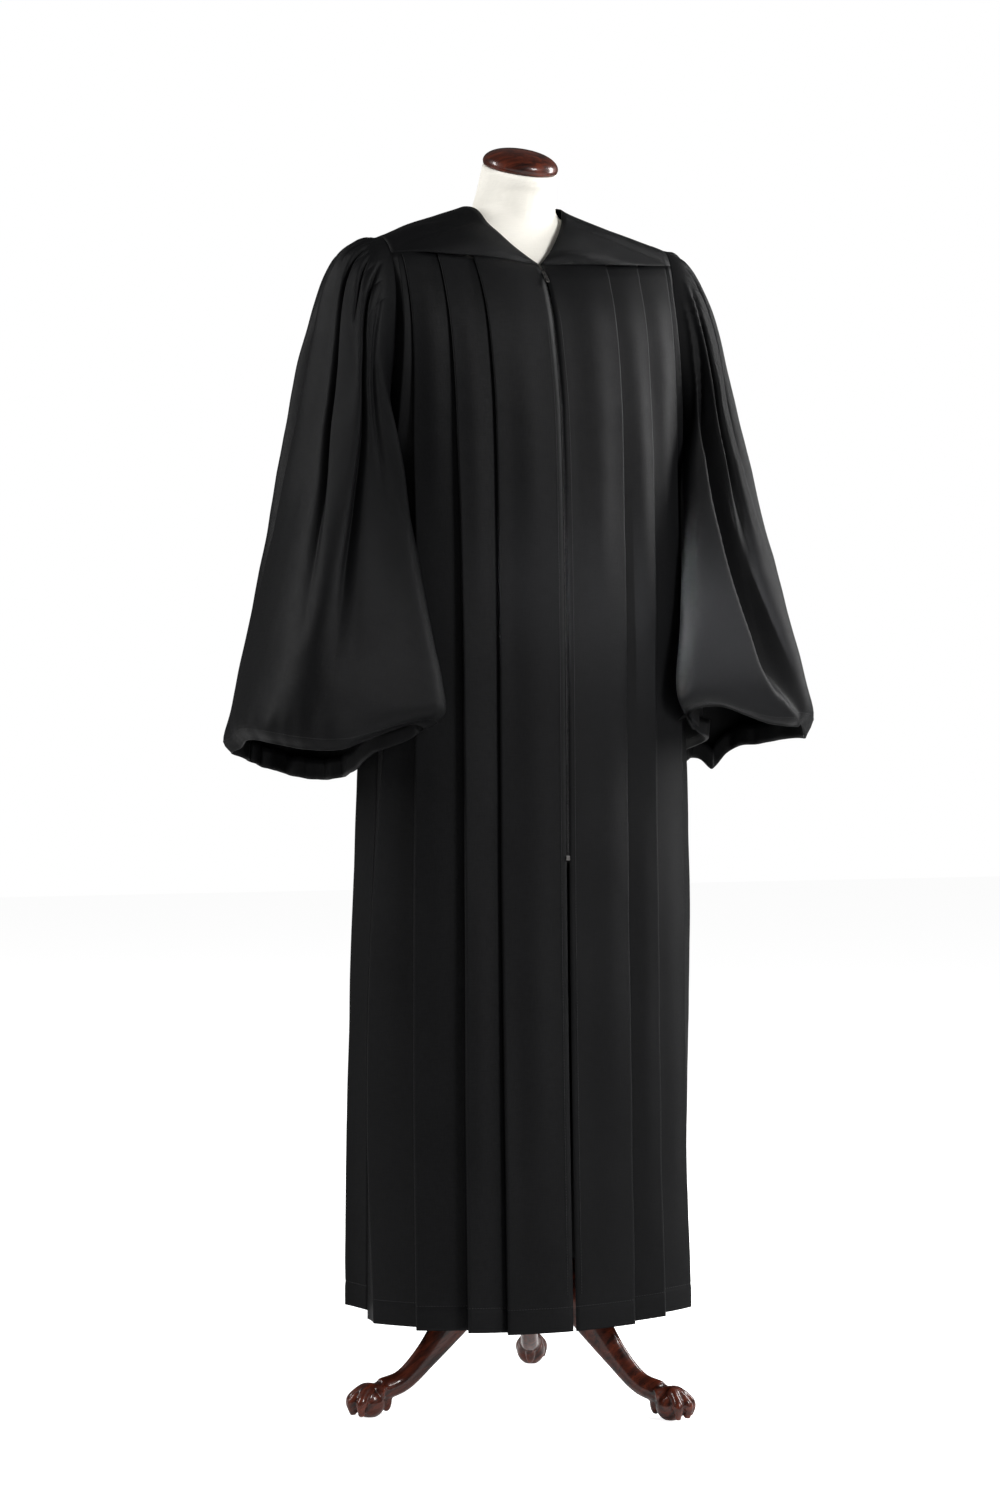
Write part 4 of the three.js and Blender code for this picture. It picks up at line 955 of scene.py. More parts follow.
def lathe(name, profile, material, sides=72, bevel=0.0):
    """A turned piece from a profile of radius and height round the pole's axis."""
    angles = np.linspace(0, TAU, sides, endpoint=False)
    vertices, faces, rings = [], [], []
    for radius, z in profile:
        if radius == 0:
            rings.append([len(vertices)])
            vertices.append((AXIS_X, AXIS_Y, z * MM))
        else:
            rings.append(list(range(len(vertices), len(vertices) + sides)))
            xs = AXIS_X + radius * MM * np.cos(angles)
            ys = AXIS_Y + radius * MM * np.sin(angles)
            vertices.extend((x, y, z * MM) for x, y in zip(xs, ys))
    for low, high in zip(rings, rings[1:]):
        for i in range(sides):
            j = (i + 1) % sides
            quad = [low[i % len(low)], low[j % len(low)], high[j % len(high)], high[i % len(high)]]
            faces.append(tuple(dict.fromkeys(quad)))
    thing = object_from(name, vertices, faces, material)
    if bevel:
        rounding = thing.modifiers.new("rounded", "BEVEL")
        rounding.width = bevel * MM
        rounding.segments = 3
        rounding.limit_method = "ANGLE"
        rounding.angle_limit = math.radians(25)
    return thing


LEG = Table("t reach z wide deep", [
    [0, 24, 168, 28, 66],
    [0.2, 60, 142, 30, 54],
    [0.4, 97, 101, 27, 42],
    [0.6, 130, 65, 23, 29],
    [0.8, 161, 38, 22, 25],
    [1, 190, 29, 25, 25],
])
LEG_RIDGE = 0.16  # the ridge along a leg's back, as a share of its depth
FOOT = {"reach": 203, "ball": 18, "ball_ahead": 2, "ball_z": 16, "spread": 36}
HEEL = {"behind": 19, "z": 17, "radii": (7, 6.3, 14)}
TOE = Table("i ahead z r", [
    [0, -17, 28, 8.5],
    [1, 1, 31, 8.4],
    [2, 17, 26, 7.9],
    [3, 25, 14, 6.4],
    [4, 23, 4, 3.8],
])
KNUCKLES = {"swell": 0.1, "apart": 1.35, "narrow": 0.85}
LEG_SEAT = 27.7  # a leg's inner end is pushed out to this radius, just outside the column
LEG_TURNS = {"front_right": -176.5, "front_left": -56.5, "back": 63.5}
LEG_VOXEL = 1.5


def tube(centres, sections):
    """A closed tube through points with a ring of offsets at each, as one (points, faces) part."""
    count = len(sections[0])
    vertices = [c + offset for c, ring in zip(centres, sections) for offset in ring]
    faces = [tuple(range(count))[::-1], tuple(range(len(vertices) - count, len(vertices)))]
    faces.extend(tuple(f) for f in grid_faces(len(centres), count, True))
    return vertices, faces


def leg_parts():
    """A cabriole leg along +X: the swept bar, the ball, three toes with their claws and the heel."""
    parts = []
    t = np.linspace(0, 1, 40)
    reach, z, wide, deep = (LEG(name, t) for name in ("reach", "z", "wide", "deep"))
    along = unit(np.stack([np.gradient(reach), 0 * t, np.gradient(z)], -1))
    up = np.stack([-along[:, 2], 0 * t, along[:, 0]], -1)
    rings = []
    for i in range(len(t)):
        angles = np.linspace(0, TAU, 24, endpoint=False)
        ridge = 1 + LEG_RIDGE * np.maximum(0, np.sin(angles)) ** 3
        rings.append([
            up[i] * (deep[i] / 2 * math.sin(a) * r) + np.array([0, wide[i] / 2 * math.cos(a), 0])
            for a, r in zip(angles, ridge)
        ])
    centres = np.stack([reach, 0 * t, z], -1)
    parts.append(tube(centres, rings))
    parts.append(ball_part((FOOT["reach"] + FOOT["ball_ahead"], 0, FOOT["ball_z"]), (FOOT["ball"],) * 3))
    parts.append(ball_part((FOOT["reach"] - HEEL["behind"], 0, HEEL["z"]), HEEL["radii"]))
    for turn in np.radians([-FOOT["spread"], 0, FOOT["spread"]]):
        parts.append(toe_part(turn))
    return parts


def ball_part(centre, radii, rings=18, sides=28):
    heights = np.linspace(-math.pi / 2, math.pi / 2, rings + 2)[1:-1]
    angles = np.linspace(0, TAU, sides, endpoint=False)
    centres = [np.array(centre, float) + np.array([0, 0, radii[2] * math.sin(h)]) for h in heights]
    circle = np.stack([radii[0] * np.cos(angles), radii[1] * np.sin(angles), 0 * angles], -1)
    return tube(centres, [circle * math.cos(h) for h in heights])


def toe_part(turn):
    """A toe from the ankle over the ball, swelling at each knuckle, down to its claw."""
    i = np.linspace(0, 4, 30)
    ahead, z, r = (TOE(name, i) for name in ("ahead", "z", "r"))
    r = r * (1 + KNUCKLES["swell"] * np.cos(i * TAU / KNUCKLES["apart"]))
    along = unit(np.stack([np.gradient(ahead), np.gradient(z)], -1))
    heading = np.array([math.cos(turn), math.sin(turn), 0])
    across = np.array([-math.sin(turn), math.cos(turn), 0])
    upright = np.array([0, 0, 1])
    ankle = np.array([FOOT["reach"], 0, 0])
    centres = [ankle + heading * a + upright * h for a, h in zip(ahead, z)]
    sections = []
    for k in range(len(i)):
        up = upright * along[k, 0] - heading * along[k, 1]
        sections.append([
            up * (r[k] * math.sin(a)) + across * (r[k] * KNUCKLES["narrow"] * math.cos(a))
            for a in np.linspace(0, TAU, 16, endpoint=False)
        ])
    return tube(centres, sections)


def carved(name, parts, material, voxel):
    """One carved piece from overlapping parts in millimetres, blended where they meet."""
    scaled = [([np.array(p) * MM for p in points], faces) for points, faces in parts]
    thing = joined(name, scaled, material)
    melt = thing.modifiers.new("melt", "REMESH")
    melt.mode = "VOXEL"
    melt.voxel_size = voxel * MM
    soften = thing.modifiers.new("soften", "SMOOTH")
    soften.factor = 0.5
    soften.iterations = 5
    return apply_modifiers(thing)


# Materials

class Nodes:
    """Short calls for building a node tree."""

    def __init__(self, tree):
        self.tree = tree
        tree.nodes.clear()

    def add(self, kind, inputs=None, **settings):
        node = self.tree.nodes.new(kind)
        for key, value in settings.items():
            setattr(node, key, value)
        for key, value in (inputs or {}).items():
            self.feed(node.inputs[key], value)
        return node

    def feed(self, socket, value):
        if isinstance(value, bpy.types.NodeSocket):
            self.tree.links.new(value, socket)
        else:
            socket.default_value = value

    def sum(self, operation, *values):
        return self.add("ShaderNodeMath", dict(enumerate(values)), operation=operation).outputs[0]

    def stretched(self, vector, scales):
        return self.add("ShaderNodeVectorMath", {0: vector, 1: scales}, operation="MULTIPLY").outputs[0]

    def noise(self, vector, scale, detail, distortion=0.0):
        inputs = {"Vector": vector, "Scale": scale, "Detail": detail, "Distortion": distortion}
        return self.add("ShaderNodeTexNoise", inputs).outputs[0]

    def mix(self, factor, a, b):
        node = self.add("ShaderNodeMix", data_type="RGBA")
        for socket, value in zip((node.inputs[0], node.inputs[6], node.inputs[7]), (factor, a, b)):
            self.feed(socket, value)
        return node.outputs[2]

    def remap(self, value, low, high, to_low=0.0, to_high=1.0):
        node = self.add("ShaderNodeMapRange", {
            "Value": value, "From Min": low, "From Max": high, "To Min": to_low, "To Max": to_high,
        })
        return node.outputs[0]


def effect(name, inputs, outputs):
    """A node group with named sockets, and its input and output nodes."""
    tree = bpy.data.node_groups.new(name, "ShaderNodeTree")
    for socket, kind, default in inputs:
        made = tree.interface.new_socket(socket, in_out="INPUT", socket_type=kind)
        if default is not None:
            made.default_value = default
    for socket, kind in outputs:
        tree.interface.new_socket(socket, in_out="OUTPUT", socket_type=kind)
    nodes = Nodes(tree)
    return nodes, nodes.add("NodeGroupInput"), nodes.add("NodeGroupOutput")


def weave_effect():
    """A twill or plain weave from the cut's own metres: its height, and the uneven shade of its yarn."""
    name = "woven threads"
    if name in bpy.data.node_groups:
        return bpy.data.node_groups[name]
    nodes, given, result = effect(
        name,
        [
            ("Cut", "NodeSocketVector", None),
            ("Threads", "NodeSocketFloat", 1400.0),
            ("Twill", "NodeSocketFloat", 1.0),
        ],
        [("Height", "NodeSocketFloat"), ("Shade", "NodeSocketFloat")],
    )
    split = nodes.add("ShaderNodeSeparateXYZ", {0: given.outputs["Cut"]})
    turn = nodes.sum("MULTIPLY", given.outputs["Threads"], TAU)
    across = nodes.sum("MULTIPLY", split.outputs[0], turn)
    down = nodes.sum("MULTIPLY", split.outputs[1], turn)
    slant = nodes.sum("ADD", nodes.sum("MULTIPLY", across, 0.5), nodes.sum("MULTIPLY", down, 0.5))
    rib = nodes.sum("SINE", slant)
    plain = nodes.sum("MULTIPLY", nodes.sum("SINE", across), nodes.sum("SINE", down))
    kind = nodes.add("ShaderNodeMix", {0: given.outputs["Twill"], 2: plain, 3: rib}, data_type="FLOAT")
    warp = nodes.noise(nodes.stretched(given.outputs["Cut"], (900.0, 70.0, 1.0)), 1.0, 2.0)
    weft = nodes.noise(nodes.stretched(given.outputs["Cut"], (70.0, 900.0, 1.0)), 1.0, 2.0)
    slub = nodes.sum("MULTIPLY", nodes.sum("ADD", warp, weft), 0.5)
    height = nodes.sum("ADD", nodes.sum("MULTIPLY", kind.outputs[0], 0.35), slub)
    nodes.feed(result.inputs["Height"], height)
    nodes.feed(result.inputs["Shade"], slub)
    return nodes.tree


def worn_effect():
    """Masks for what sticks out and what lies deep, from the surface's own curvature."""
    name = "worn edges and deep places"
    if name in bpy.data.node_groups:
        return bpy.data.node_groups[name]
    nodes, given, result = effect(
        name,
        [("Width", "NodeSocketFloat", 0.06), ("Patchiness", "NodeSocketFloat", 60.0)],
        [("Edges", "NodeSocketFloat"), ("Deep", "NodeSocketFloat")],
    )
    shape = nodes.add("ShaderNodeNewGeometry")
    where = nodes.add("ShaderNodeTexCoord")
    patches = nodes.noise(where.outputs["Object"], given.outputs["Patchiness"], 4.0)
    point = shape.outputs["Pointiness"]
    high = nodes.sum("ADD", 0.5, given.outputs["Width"])
    low = nodes.sum("SUBTRACT", 0.5, given.outputs["Width"])
    edges = nodes.remap(point, 0.505, high)
    deep = nodes.remap(point, 0.495, low)
    nodes.feed(result.inputs["Edges"], nodes.sum("MULTIPLY", edges, nodes.remap(patches, 0.35, 0.7)))
    nodes.feed(result.inputs["Deep"], deep)
    return nodes.tree


def material_base(name):
    """A new material's nodes with its Principled shader and output joined."""
    made = bpy.data.materials.new(name)
    made.use_nodes = True
    nodes = Nodes(made.node_tree)
    shader = nodes.add("ShaderNodeBsdfPrincipled")
    output = nodes.add("ShaderNodeOutputMaterial", {"Surface": shader.outputs[0]})
    output.location = (300, 0)
    return made, nodes, shader


def set_shader(nodes, shader, **values):
    for key, value in values.items():
        nodes.feed(shader.inputs[key.replace("_", " ")], value)


def bump(nodes, height, strength, distance):
    inputs = {"Height": height, "Strength": strength, "Distance": distance}
    return nodes.add("ShaderNodeBump", inputs).outputs[0]


def woven_material(name, colour, threads, twill, contrast, rough, depth):
    """A cloth material: woven bump, uneven yarn and a soft patchiness at arm's length."""
    made, nodes, shader = material_base(name)
    cut = nodes.add("ShaderNodeUVMap", uv_map="cut")
    weave = nodes.add("ShaderNodeGroup", node_tree=weave_effect())
    nodes.feed(weave.inputs["Cut"], cut.outputs[0])
    nodes.feed(weave.inputs["Threads"], threads)
    nodes.feed(weave.inputs["Twill"], twill)
    where = nodes.add("ShaderNodeTexCoord")
    patches = nodes.noise(where.outputs["Object"], 14.0, 3.0)
    dark = [c * (1 - contrast) for c in colour[:3]] + [1]
    light = [min(1, c * (1 + contrast)) for c in colour[:3]] + [1]
    yarn = nodes.sum("MULTIPLY", weave.outputs["Shade"], 0.75)
    shade = nodes.sum("ADD", yarn, nodes.sum("MULTIPLY", patches, 0.25))
    tint = nodes.mix(nodes.remap(shade, 0.32, 0.68), dark, light)
    set_shader(
        nodes, shader,
        Base_Color=tint,
        Roughness=nodes.remap(weave.outputs["Shade"], 0.3, 0.7, rough + 0.06, rough - 0.06),
        Normal=bump(nodes, weave.outputs["Height"], 0.6, depth),
    )
    return made, nodes, shader


def gown_cloth():
    name = "black wool twill"
    if name in bpy.data.materials:
        return bpy.data.materials[name]
    made, nodes, shader = woven_material(name, colours().cloth, 1300.0, 1.0, 0.35, 0.52, 0.00022)
    set_shader(nodes, shader, Specular_IOR_Level=0.088)
    return made


def form_linen():
    made, nodes, shader = woven_material("ivory linen", colours().form_cover, 900.0, 0.0, 0.06, 0.85, 0.0002)
    set_shader(nodes, shader, Specular_IOR_Level=0.25, Sheen_Weight=0.1, Sheen_Roughness=0.5)
    return made


def zip_tape_cloth():
    colour = (0.004, 0.004, 0.0042, 1)
    made, nodes, shader = woven_material("zip tape", colour, 1500.0, 1.0, 0.3, 0.8, 0.00015)
    set_shader(nodes, shader, Specular_IOR_Level=0.1)
    return made


def thread_material():
    """Black sewing thread, twisted along its length."""
    name = "sewing thread"
    if name in bpy.data.materials:
        return bpy.data.materials[name]
    made, nodes, shader = material_base(name)
    where = nodes.add("ShaderNodeTexCoord")
    twist = nodes.noise(where.outputs["Object"], 1800.0, 2.0)
    tint = nodes.mix(twist, (0.004, 0.004, 0.0045, 1), (0.013, 0.013, 0.014, 1))
    set_shader(nodes, shader, Base_Color=tint, Roughness=0.5, Specular_IOR_Level=0.25,
               Normal=bump(nodes, twist, 0.5, 0.0002))
    return made


def mahogany(name, direction):
    """Varnished mahogany with its grain along one direction, darker in its carving and worn at its edges."""
    made, nodes, shader = material_base(name)
    where = nodes.add("ShaderNodeTexCoord")
    turned = nodes.add("ShaderNodeMapping", {"Vector": where.outputs["Object"], "Rotation": direction})
    streaks = nodes.noise(nodes.stretched(turned.outputs[0], (9.0, 120.0, 120.0)), 1.0, 6.0, 0.6)
    pores = nodes.noise(nodes.stretched(turned.outputs[0], (60.0, 900.0, 900.0)), 1.0, 2.0)
    worn = nodes.add("ShaderNodeGroup", {"Width": 0.05, "Patchiness": 45.0}, node_tree=worn_effect())
    grain = nodes.mix(nodes.remap(streaks, 0.35, 0.68), colours().wood_dark, colours().wood_light)
    pored = nodes.mix(nodes.remap(pores, 0.56, 0.7), grain, colours().wood_dark)
    sunk = nodes.mix(nodes.sum("MULTIPLY", worn.outputs["Deep"], 0.8), pored, (0.004, 0.0015, 0.001, 1))
    light = [min(1, c * 2.2) for c in colours().wood_light[:3]] + [1]
    edged = nodes.mix(nodes.sum("MULTIPLY", worn.outputs["Edges"], 0.45), sunk, light)
    set_shader(
        nodes, shader,
        Base_Color=edged,
        Roughness=nodes.remap(pores, 0.4, 0.7, 0.3, 0.42),
        Specular_IOR_Level=0.2,
        Coat_Weight=nodes.remap(worn.outputs["Edges"], 0.0, 1.0, 0.42, 0.25),
        Coat_Roughness=0.07,
        Normal=bump(nodes, pores, 0.25, 0.0003),
    )
    return made


def metal(name, colour, base_rough, worn_colour, brush):
    """Metal with fine brushing or scuffs and edges worn bright."""
    made, nodes, shader = material_base(name)
    where = nodes.add("ShaderNodeTexCoord")
    marks = nodes.noise(nodes.stretched(where.outputs["Object"], brush), 1.0, 4.0)
    worn = nodes.add("ShaderNodeGroup", {"Width": 0.04, "Patchiness": 300.0}, node_tree=worn_effect())
    darker = [c * 0.7 for c in colour[:3]] + [1]
    tint = nodes.mix(nodes.remap(marks, 0.3, 0.7), darker, colour)
    edged = nodes.mix(nodes.sum("MULTIPLY", worn.outputs["Edges"], 0.6), tint, worn_colour)
    set_shader(
        nodes, shader,
        Base_Color=edged, Metallic=0.9,
        Roughness=nodes.remap(marks, 0.3, 0.7, base_rough - 0.07, base_rough + 0.09),
        Normal=bump(nodes, marks, 0.2, 0.0001),
    )
    return made


def zip_plastic():
    """Glossy black moulded teeth with a little mould roughness."""
    made, nodes, shader = material_base("zip teeth")
    where = nodes.add("ShaderNodeTexCoord")
    mould = nodes.noise(where.outputs["Object"], 900.0, 3.0)
    light = [c * 2 for c in colours().zip_black[:3]] + [1]
    tint = nodes.mix(mould, colours().zip_black, light)
    set_shader(nodes, shader, Base_Color=tint, Specular_IOR_Level=0.3,
               Roughness=nodes.remap(mould, 0.3, 0.7, 0.2, 0.34),
               Normal=bump(nodes, mould, 0.2, 0.0001))
    return made


def floor_material():
    """A pale studio floor that glows a little, as a lit sweep does, with faint unevenness."""
    made, nodes, shader = material_base("studio floor")
    where = nodes.add("ShaderNodeTexCoord")
    cloud = nodes.noise(where.outputs["Object"], 0.8, 2.0)
    pale = list(colours().floor)
    tint = nodes.mix(cloud, [c * 0.98 for c in pale[:3]] + [1], pale)
    path = nodes.add("ShaderNodeLightPath")
    glow = nodes.sum("ADD", 0.15, nodes.sum("MULTIPLY", path.outputs["Is Camera Ray"], 0.75))
    set_shader(nodes, shader, Base_Color=tint, Roughness=0.7, Specular_IOR_Level=0.2,
               Emission_Color=(1, 1, 1, 1), Emission_Strength=glow)
    return made


# Operators

CAMERA = {"distance": 3.5, "height": 0.787, "azimuth": -24, "lens": 69.17, "shift_px": -24}
LONG_SIDE_PX = 1500
FLOOR_HALF = 12  # metres
# Each lamp's name, place, the point it faces, width and height in metres, watts and spread in degrees
LAMPS = (
    ("right softbox", (2.4, -0.2, 1.9), (0, 0, 1.1), (0.7, 1.9), 92, 180),
    ("left softbox", (-2.8, 0.7, 2.3), (0, 0, 1.2), (0.6, 1.8), 84, 180),
    ("front right umbrella", (1.3, -3.2, 2.5), (0, 0, 1.1), (0.9, 0.9), 106, 180),
    ("low soft lamp", (-2.98, -1.32, 1.6), (0.32, -0.12, 0.92), (0.12, 0.12), 1, 4.5),
)


class StageOperator(bpy.types.Operator):
    """Makes the camera, the lights, the pale floor and the white surround"""
    bl_idname = "gown.stage"
    bl_label = "Stage"

    def execute(self, context):
        scene = context.scene
        azimuth = math.radians(CAMERA["azimuth"])
        back = Vector((math.sin(azimuth), -math.cos(azimuth), 0))
        data = bpy.data.cameras.new("photo camera")
        camera = bpy.data.objects.new("photo camera", data)
        scene.collection.objects.link(camera)
        camera.location = Vector((AXIS_X, AXIS_Y, CAMERA["height"])) + back * CAMERA["distance"]
        camera.rotation_euler = (-back).to_track_quat("-Z", "Y").to_euler()
        data.lens = CAMERA["lens"]
        data.shift_x = CAMERA["shift_px"] / LONG_SIDE_PX
        data.clip_start, data.clip_end = 0.05, 60
        scene.camera = camera
        scene.view_settings.view_transform = "Standard"
        for row in LAMPS:
            self.light(*row)
        self.surround(scene)
        corners = [(x * FLOOR_HALF, y * FLOOR_HALF, 0) for x, y in ((-1, -1), (1, -1), (1, 1), (-1, 1))]
        object_from("studio_floor", corners, [(0, 1, 2, 3)], floor_material())
        return {"FINISHED"}

    def light(self, name, where, towards, size, power, spread):
        data = bpy.data.lights.new(name, "AREA")
        data.shape = "RECTANGLE"
        data.size, data.size_y = size
        data.energy = power
        data.spread = math.radians(spread)
        lamp = bpy.data.objects.new(name, data)
        bpy.context.scene.collection.objects.link(lamp)
        lamp.location = where
        lamp.rotation_euler = (Vector(towards) - Vector(where)).to_track_quat("-Z", "Y").to_euler()

    def surround(self, scene):
        world = bpy.data.worlds.new("white surround")
        world.use_nodes = True
        nodes = Nodes(world.node_tree)
        path = nodes.add("ShaderNodeLightPath")
        seen = nodes.add("ShaderNodeBackground", {"Color": (1, 1, 1, 1), "Strength": 1.0})
        lit = nodes.add("ShaderNodeBackground", {"Color": (1, 1, 1, 1), "Strength": 0.07})
        choice = {0: path.outputs["Is Camera Ray"], 1: lit.outputs[0], 2: seen.outputs[0]}
        both = nodes.add("ShaderNodeMixShader", choice)
        nodes.add("ShaderNodeOutputWorld", {"Surface": both.outputs[0]})
        scene.world = world


class FrontsOperator(bpy.types.Operator):
    """Makes the two pleated fronts with their turned-up hems"""
    bl_idname = "gown.fronts"
    bl_label = "Fronts"

    def execute(self, context):
        for wearer, hand in WEARERS:
            piece = cloth_object(f"gown_front_{wearer}", front_grid(hand), gown_cloth())
            seat(piece, CLOTH_BODY, "gown_cloth", f"front_{wearer}")
        return {"FINISHED"}


class BackOperator(bpy.types.Operator):
    """Makes the pleated back with its turned-up hem"""
    bl_idname = "gown.back"
    bl_label = "Back"

    def execute(self, context):
        piece = cloth_object("gown_back", back_grid(), gown_cloth())
        seat(piece, CLOTH_BODY, "gown_cloth", "back")
        return {"FINISHED"}


class YokeOperator(bpy.types.Operator):
    """Makes the yoke over both shoulders"""
    bl_idname = "gown.yoke"
    bl_label = "Yoke"

    def execute(self, context):
        left, right = (yoke_half(wearer) for wearer in ("left", "right"))
        halves = place(-right[0], right[1], right[2]), place(*left)
        grid = hung(np.concatenate([halves[0][:, :-1], halves[1][:, ::-1]], 1))
        normals = grid_normals(grid)
        normals *= np.sign(normals[..., 2:3].mean())
        down = np.linspace(0, 1, len(grid))[:, None]
        roll = YOKE_ROLL["proud"] * smooth((down - YOKE_ROLL["from"]) / YOKE_ROLL["run"])
        out = ripple(grid, *YOKE_UNEVEN) + roll
        piece = cloth_object("gown_yoke", grid + normals * out[..., None] * MM, gown_cloth())
        seat(piece, CLOTH_BODY, "gown_cloth", "yoke")
        return {"FINISHED"}


class SleevesOperator(bpy.types.Operator):
    """Makes the two bell sleeves, gathered at their heads and turned in at their rims"""
    bl_idname = "gown.sleeves"
    bl_label = "Sleeves"

    def execute(self, context):
        for wearer, hand in WEARERS:
            grid = sleeve_grid(wearer, hand)
            piece = cloth_object(f"gown_sleeve_{wearer}", grid, gown_cloth(), closed=True)
            seat(piece, CLOTH_BODY, "gown_cloth", f"sleeve_{wearer}")
        return {"FINISHED"}


SLIDER = {"z": 1354, "pivot_out": 3.4}
# Outlines of the slider and its tab, as places of side and height
SLIDER_PLATE = [(-3.4, 5.2), (3.4, 5.2), (3.0, -1.0), (1.9, -5.2), (-1.9, -5.2), (-3.0, -1.0)]
SLIDER_WEDGE = [(-0.9, 5.0), (0.9, 5.0), (0.6, 0.5), (-0.6, 0.5)]
TAB_OUTLINE = [
    (-2.0, -0.9), (2.0, -0.9), (2.5, -5.5), (2.5, -15.4),
    (1.6, -17.6), (-1.6, -17.6), (-2.5, -15.4), (-2.5, -5.5),
]
TAB_RAISED = [(-1.2, -6.5), (1.2, -6.5), (1.5, -14.0), (-1.5, -14.0)]


class ZipOperator(bpy.types.Operator):
    """Makes the zip's tapes, teeth, bottom stop, slider and pull tab"""
    bl_idname = "gown.zip"
    bl_label = "Zip"

    def execute(self, context):
        z = np.linspace(ZIP_TOP_Z, ZIP_END_Z - TAPE["tail"], TAPE["rows"])
        widths = (-TAPE["outer"], -TAPE["inner"]), (TAPE["inner"], TAPE["outer"])
        tapes = band("zip_tapes", (zip_line(z) - TAPE["behind"], z), widths, TAPE["thick"], zip_tape_cloth())
        seat(tapes, CLOTH_BODY, "zip_chain")
        pitch = sizes().tooth / MM
        parts = []
        for i, height in enumerate(np.arange(ZIP_END_Z + TEETH_FROM, ZIP_TOP_Z - TEETH_SHORT, pitch / 2)):
            hand = 1 if i % 2 else -1
            parts.append(tooth_part(hand * TOOTH["root"], float(height), hand))
        teeth = joined("zip_teeth", parts, zip_plastic())
        seat(teeth, CLOTH_BODY, "zip_chain", "zip_chain")
        self.slider()
        return {"FINISHED"}

    def slider(self):
        """The slider's plates, wedge and bail, the bottom stop, and the tapered pull tab with its eye."""
        black, bright = (0.05, 0.05, 0.052, 1), (0.42, 0.4, 0.38, 1)
        dark = metal("blackened zip metal", black, 0.3, bright, (900.0, 900.0, 200.0))
        pivot = Vector(frame["joints"][0]["pos_m"])
        lean = float(zip_slope(SLIDER["z"]))
        out = Vector((0, -math.cos(lean), math.sin(lean)))
        middle = pivot - out * SLIDER["pivot_out"] * MM
        turn = Matrix.Rotation(-lean, 4, "X")
        body = bmesh.new()
        slab(body, SLIDER_PLATE, 0.35, 1.2)
        slab(body, SLIDER_PLATE, -1.2, -0.5)
        slab(body, SLIDER_WEDGE, -0.5, 0.35)
        for side in (-1.9, 1.9):
            slab(body, rectangle(side, 0.45, 0.8, -0.8), 1.2, 3.9)
        slab(body, rectangle(0, 2.3, 0.6, -0.6), 2.9, 3.9)
        slider = placed_bmesh("zip_slider_body", body, dark, middle, turn, 0.22)
        stop = bmesh.new()
        slab(stop, rectangle(0, 2.3, 2.6, -2.6), 0.2, 1.0)
        slab(stop, rectangle(0, 2.3, 2.6, -2.6), -1.2, -0.6)
        foot = Vector(place(0, zip_line(ZIP_END_Z), ZIP_END_Z))
        lean_low = Matrix.Rotation(-float(zip_slope(ZIP_END_Z)), 4, "X")
        seat(placed_bmesh("zip_bottom_stop", stop, dark, foot, lean_low, 0.25), CLOTH_BODY, "zip_metal")
        seat(slider, CLOTH_BODY, "zip_metal", "zip_slider")
        tab = bmesh.new()
        slab(tab, rectangle(0, 1.1, 1.9, 0.9), -0.6, 0.6)
        slab(tab, TAB_OUTLINE, -0.6, 0.6)
        for side in (-1.35, 1.35):
            slab(tab, rectangle(side, 0.3, 1.9, -1.2), -0.6, 0.6)
        slab(tab, TAB_RAISED, 0.6, 0.85)
        pull = placed_bmesh("zip_pull_tab", tab, dark, pivot, turn, 0.25)
        seat(pull, PULL_BODY, "zip_metal", "zip_pull")


def rectangle(middle, half, top, bottom):
    """A rectangle's corners, as places of side and height."""
    left, right = middle - half, middle + half
    return [(left, top), (right, top), (right, bottom), (left, bottom)]


def slab(mesh, outline, near, far):
    """Adds a plate to a bmesh: an outline of side and height in millimetres, between two depths outwards."""
    rings = [[mesh.verts.new((x * MM, -depth * MM, z * MM)) for x, z in outline] for depth in (near, far)]
    count = len(outline)
    mesh.faces.new(rings[0][::-1])
    mesh.faces.new(rings[1])
    for i in range(count):
        j = (i + 1) % count
        mesh.faces.new((rings[0][i], rings[0][j], rings[1][j], rings[1][i]))


def placed_bmesh(name, mesh, material, where, turn, bevel):
    """An object from a bmesh, turned and put in its place, with rounded edges."""
    bmesh.ops.recalc_face_normals(mesh, faces=mesh.faces)
    data = bpy.data.meshes.new(name)
    mesh.to_mesh(data)
    mesh.free()
    data.transform(Matrix.Translation(where) @ turn)
    data.materials.append(material)
    thing = bpy.data.objects.new(name, data)
    bpy.context.scene.collection.objects.link(thing)
    rounding = thing.modifiers.new("rounded", "BEVEL")
    rounding.width = bevel * MM
    rounding.segments = 2
    return thing


ZIP_SEWN_Z = (ZIP_TOP_Z - 6, 150)
ZIP_SEWN = {"side": 9.0, "proud": 1.65}


